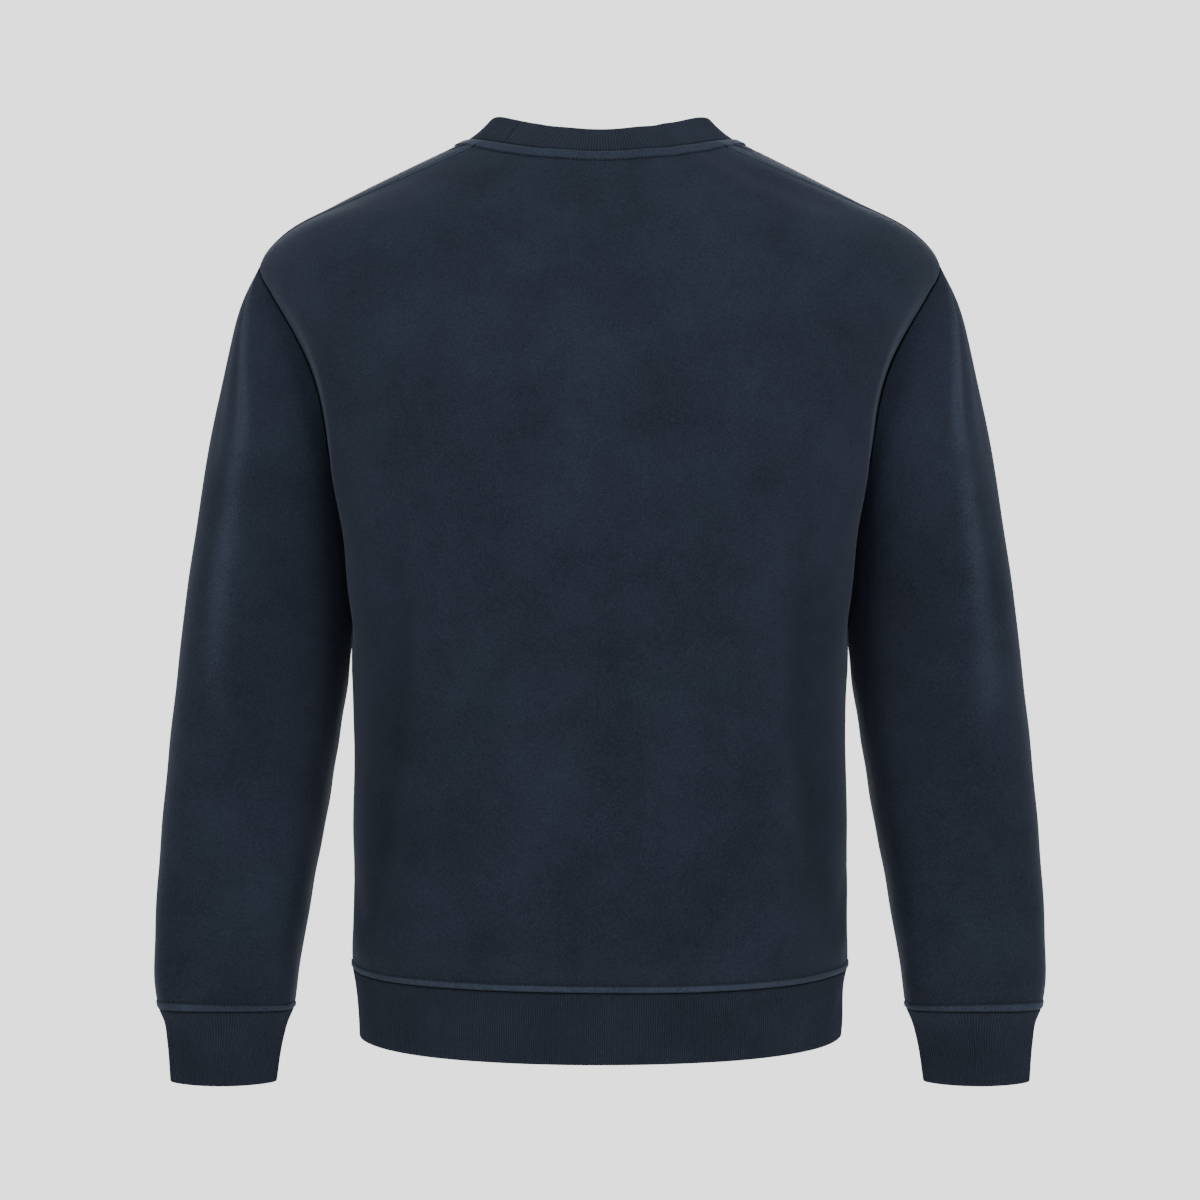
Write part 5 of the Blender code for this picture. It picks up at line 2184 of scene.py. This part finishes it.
@dataclass(frozen=True)
class PaleFloor:
    """Matt pale studio floor."""

    name: str = "studio_floor"
    colour: tuple[float, float, float] = (0.90, 0.90, 0.90)

    def build(self) -> bpy.types.Material:
        """Makes the material.

        Returns:
            The material.
        """
        graph = Graph(self.name)
        grain = graph.noise(graph.place(), 3.0, 3.0)
        colour = graph.scaled(graph.blend(grain, self.colour, self.colour), grain * 0.02 + 0.99)
        return graph.finish(colour, None, 0.9, {"Specular IOR Level": 0.2})


@dataclass(frozen=True)
class SoftLight:
    """A large soft lamp."""

    name: str
    place: tuple[float, float, float]
    size: tuple[float, float]
    power: float
    target: tuple[float, float, float] = (0.0, 0.0, -0.35)

    def build(self) -> None:
        """Makes the lamp and turns it to its target."""
        data = bpy.data.lights.new(self.name, "AREA")
        data.shape = "RECTANGLE"
        data.size, data.size_y = self.size
        data.energy = self.power
        lamp = bpy.data.objects.new(self.name, data)
        aim = Vector(self.target) - Vector(self.place)
        turned = aim.to_track_quat("-Z", "Y").to_matrix().to_4x4()
        lamp.matrix_world = Matrix.Translation(self.place) @ turned
        bpy.context.scene.collection.objects.link(lamp)


@dataclass
class Studio:
    """Floor, pale surround, lamps and the camera of the photograph."""

    floor_height: float = -1.45
    floor_size: float = 2.9
    surround: float = 0.14
    shown_surround: float = 2.14
    camera_place: tuple[float, float, float] = (0.0, 2.6, -0.3485)
    frame_width: float = 0.912
    sensor_width: float = 36.0
    lamps: tuple[SoftLight, ...] = (
        SoftLight("behind_left", (1.8, 2.2, 0.75), (1.2, 2.0), 24.0),
        SoftLight("behind_right", (-1.8, 2.2, 0.75), (1.2, 2.0), 33.0),
        SoftLight("above_camera", (0.0, 2.6, 1.3), (2.4, 1.4), 8.0),
        SoftLight("rim_left", (2.3, -0.9, 0.1), (0.8, 2.2), 8.0),
        SoftLight("rim_right", (-2.3, -0.9, 0.1), (0.8, 2.2), 5.0),
        SoftLight("front", (0.0, -2.8, 1.2), (2.0, 1.2), 104.0),
        SoftLight("top", (0.0, 0.3, 2.0), (2.4, 1.6), 8.0),
    )

    def build(self) -> None:
        """Makes all of it."""
        mesh = bmesh.new()
        bmesh.ops.create_grid(mesh, x_segments=1, y_segments=1, size=self.floor_size)
        bmesh.ops.translate(mesh, vec=(0, 0, self.floor_height), verts=mesh.verts[:])
        floor = make_piece(mesh, "studio_floor", [PaleFloor().build()])
        self.build_surround()
        for lamp in self.lamps:
            lamp.build()
        data = bpy.data.cameras.new("photo_camera")
        data.sensor_width = self.sensor_width
        data.lens = self.sensor_width * self.camera_place[1] / self.frame_width
        camera = bpy.data.objects.new("photo_camera", data)
        camera.location = self.camera_place
        camera.rotation_euler = (math.pi / 2, 0, math.pi)
        bpy.context.scene.collection.objects.link(camera)
        bpy.context.scene.camera = camera

    def build_surround(self) -> None:
        """Makes the surround, which is bright where the camera sees it and gives only a little light."""
        world = bpy.data.worlds.new("studio_surround")
        world.use_nodes = True
        nodes = world.node_tree.nodes
        given = nodes["Background"]
        shown = nodes.new("ShaderNodeBackground")
        for background, strength in ((given, self.surround), (shown, self.shown_surround)):
            background.inputs["Color"].default_value = (1, 1, 1, 1)
            background.inputs["Strength"].default_value = strength
        mix = nodes.new("ShaderNodeMixShader")
        pairs = (
            (nodes.new("ShaderNodeLightPath").outputs["Is Camera Ray"], mix.inputs[0]),
            (given.outputs[0], mix.inputs[1]),
            (shown.outputs[0], mix.inputs[2]),
            (mix.outputs[0], nodes["World Output"].inputs["Surface"]),
        )
        for source, target in pairs:
            world.node_tree.links.new(source, target)
        bpy.context.scene.world = world


@dataclass
class Sweatshirt:
    """All the cloth pieces and their stitches."""

    torso: Torso = field(default_factory=Torso)

    def declare(self, piece: bpy.types.Object, node: str,
                stitches: list[bpy.types.Object]) -> None:
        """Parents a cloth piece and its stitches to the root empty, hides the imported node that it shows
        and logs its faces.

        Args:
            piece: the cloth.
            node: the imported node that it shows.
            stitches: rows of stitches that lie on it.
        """
        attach(piece, "root")
        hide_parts(node)
        for thread in stitches:
            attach(thread, "root")
        log.info("%s: %d faces", piece.name, len(piece.data.polygons))

    def build(self) -> None:
        """Makes every piece, in the order a maker sews them."""
        face = Fleece().build()
        inside = BrushedInside().build()
        rib = Ribbing().build()
        thread_finish = SewingThread().build()
        thread = Thread()
        back = Panel(self.torso, front=False)
        front = Panel(self.torso, front=True, turning=70 * MM, shoulder_step=5.6 * MM, neck_step=5.0 * MM)
        back_cloth = back.build("back_panel_cloth", [face, inside])
        front_cloth = front.build("front_panel_cloth", [face, inside])
        back_stitches = thread.build("back_panel_stitches", back.stitch_lines(), thread_finish)
        front_stitches = thread.build("front_panel_stitches", front.stitch_lines(), thread_finish)
        self.declare(back_cloth, "back_panel", [back_stitches])
        self.declare(front_cloth, "front_panel", [front_stitches])
        sleeve = Sleeve(self.torso)
        cuff = Cuff(sleeve)
        for side in Side:
            node = f"sleeve_{side.value}"
            cloth = sleeve.build(side, [face, inside])
            stitches = thread.build(f"{node}_stitches", sleeve.stitch_lines(side), thread_finish)
            self.declare(cloth, node, [stitches])
            band = cuff.build(side, [rib])
            self.declare(band, f"cuff_{side.value}", [])
        collar = Collar(self.torso).build([rib])
        self.declare(collar, "neck_rib", [])
        hem = Hem(self.torso).build([rib])
        self.declare(hem, "hem_rib", [])


def main() -> None:
    """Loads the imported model, dresses it and sets up the studio."""
    logging.basicConfig(level=logging.INFO, format="%(message)s")
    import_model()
    Sweatshirt().build()
    Studio().build()


if __name__ == "__main__":
    main()
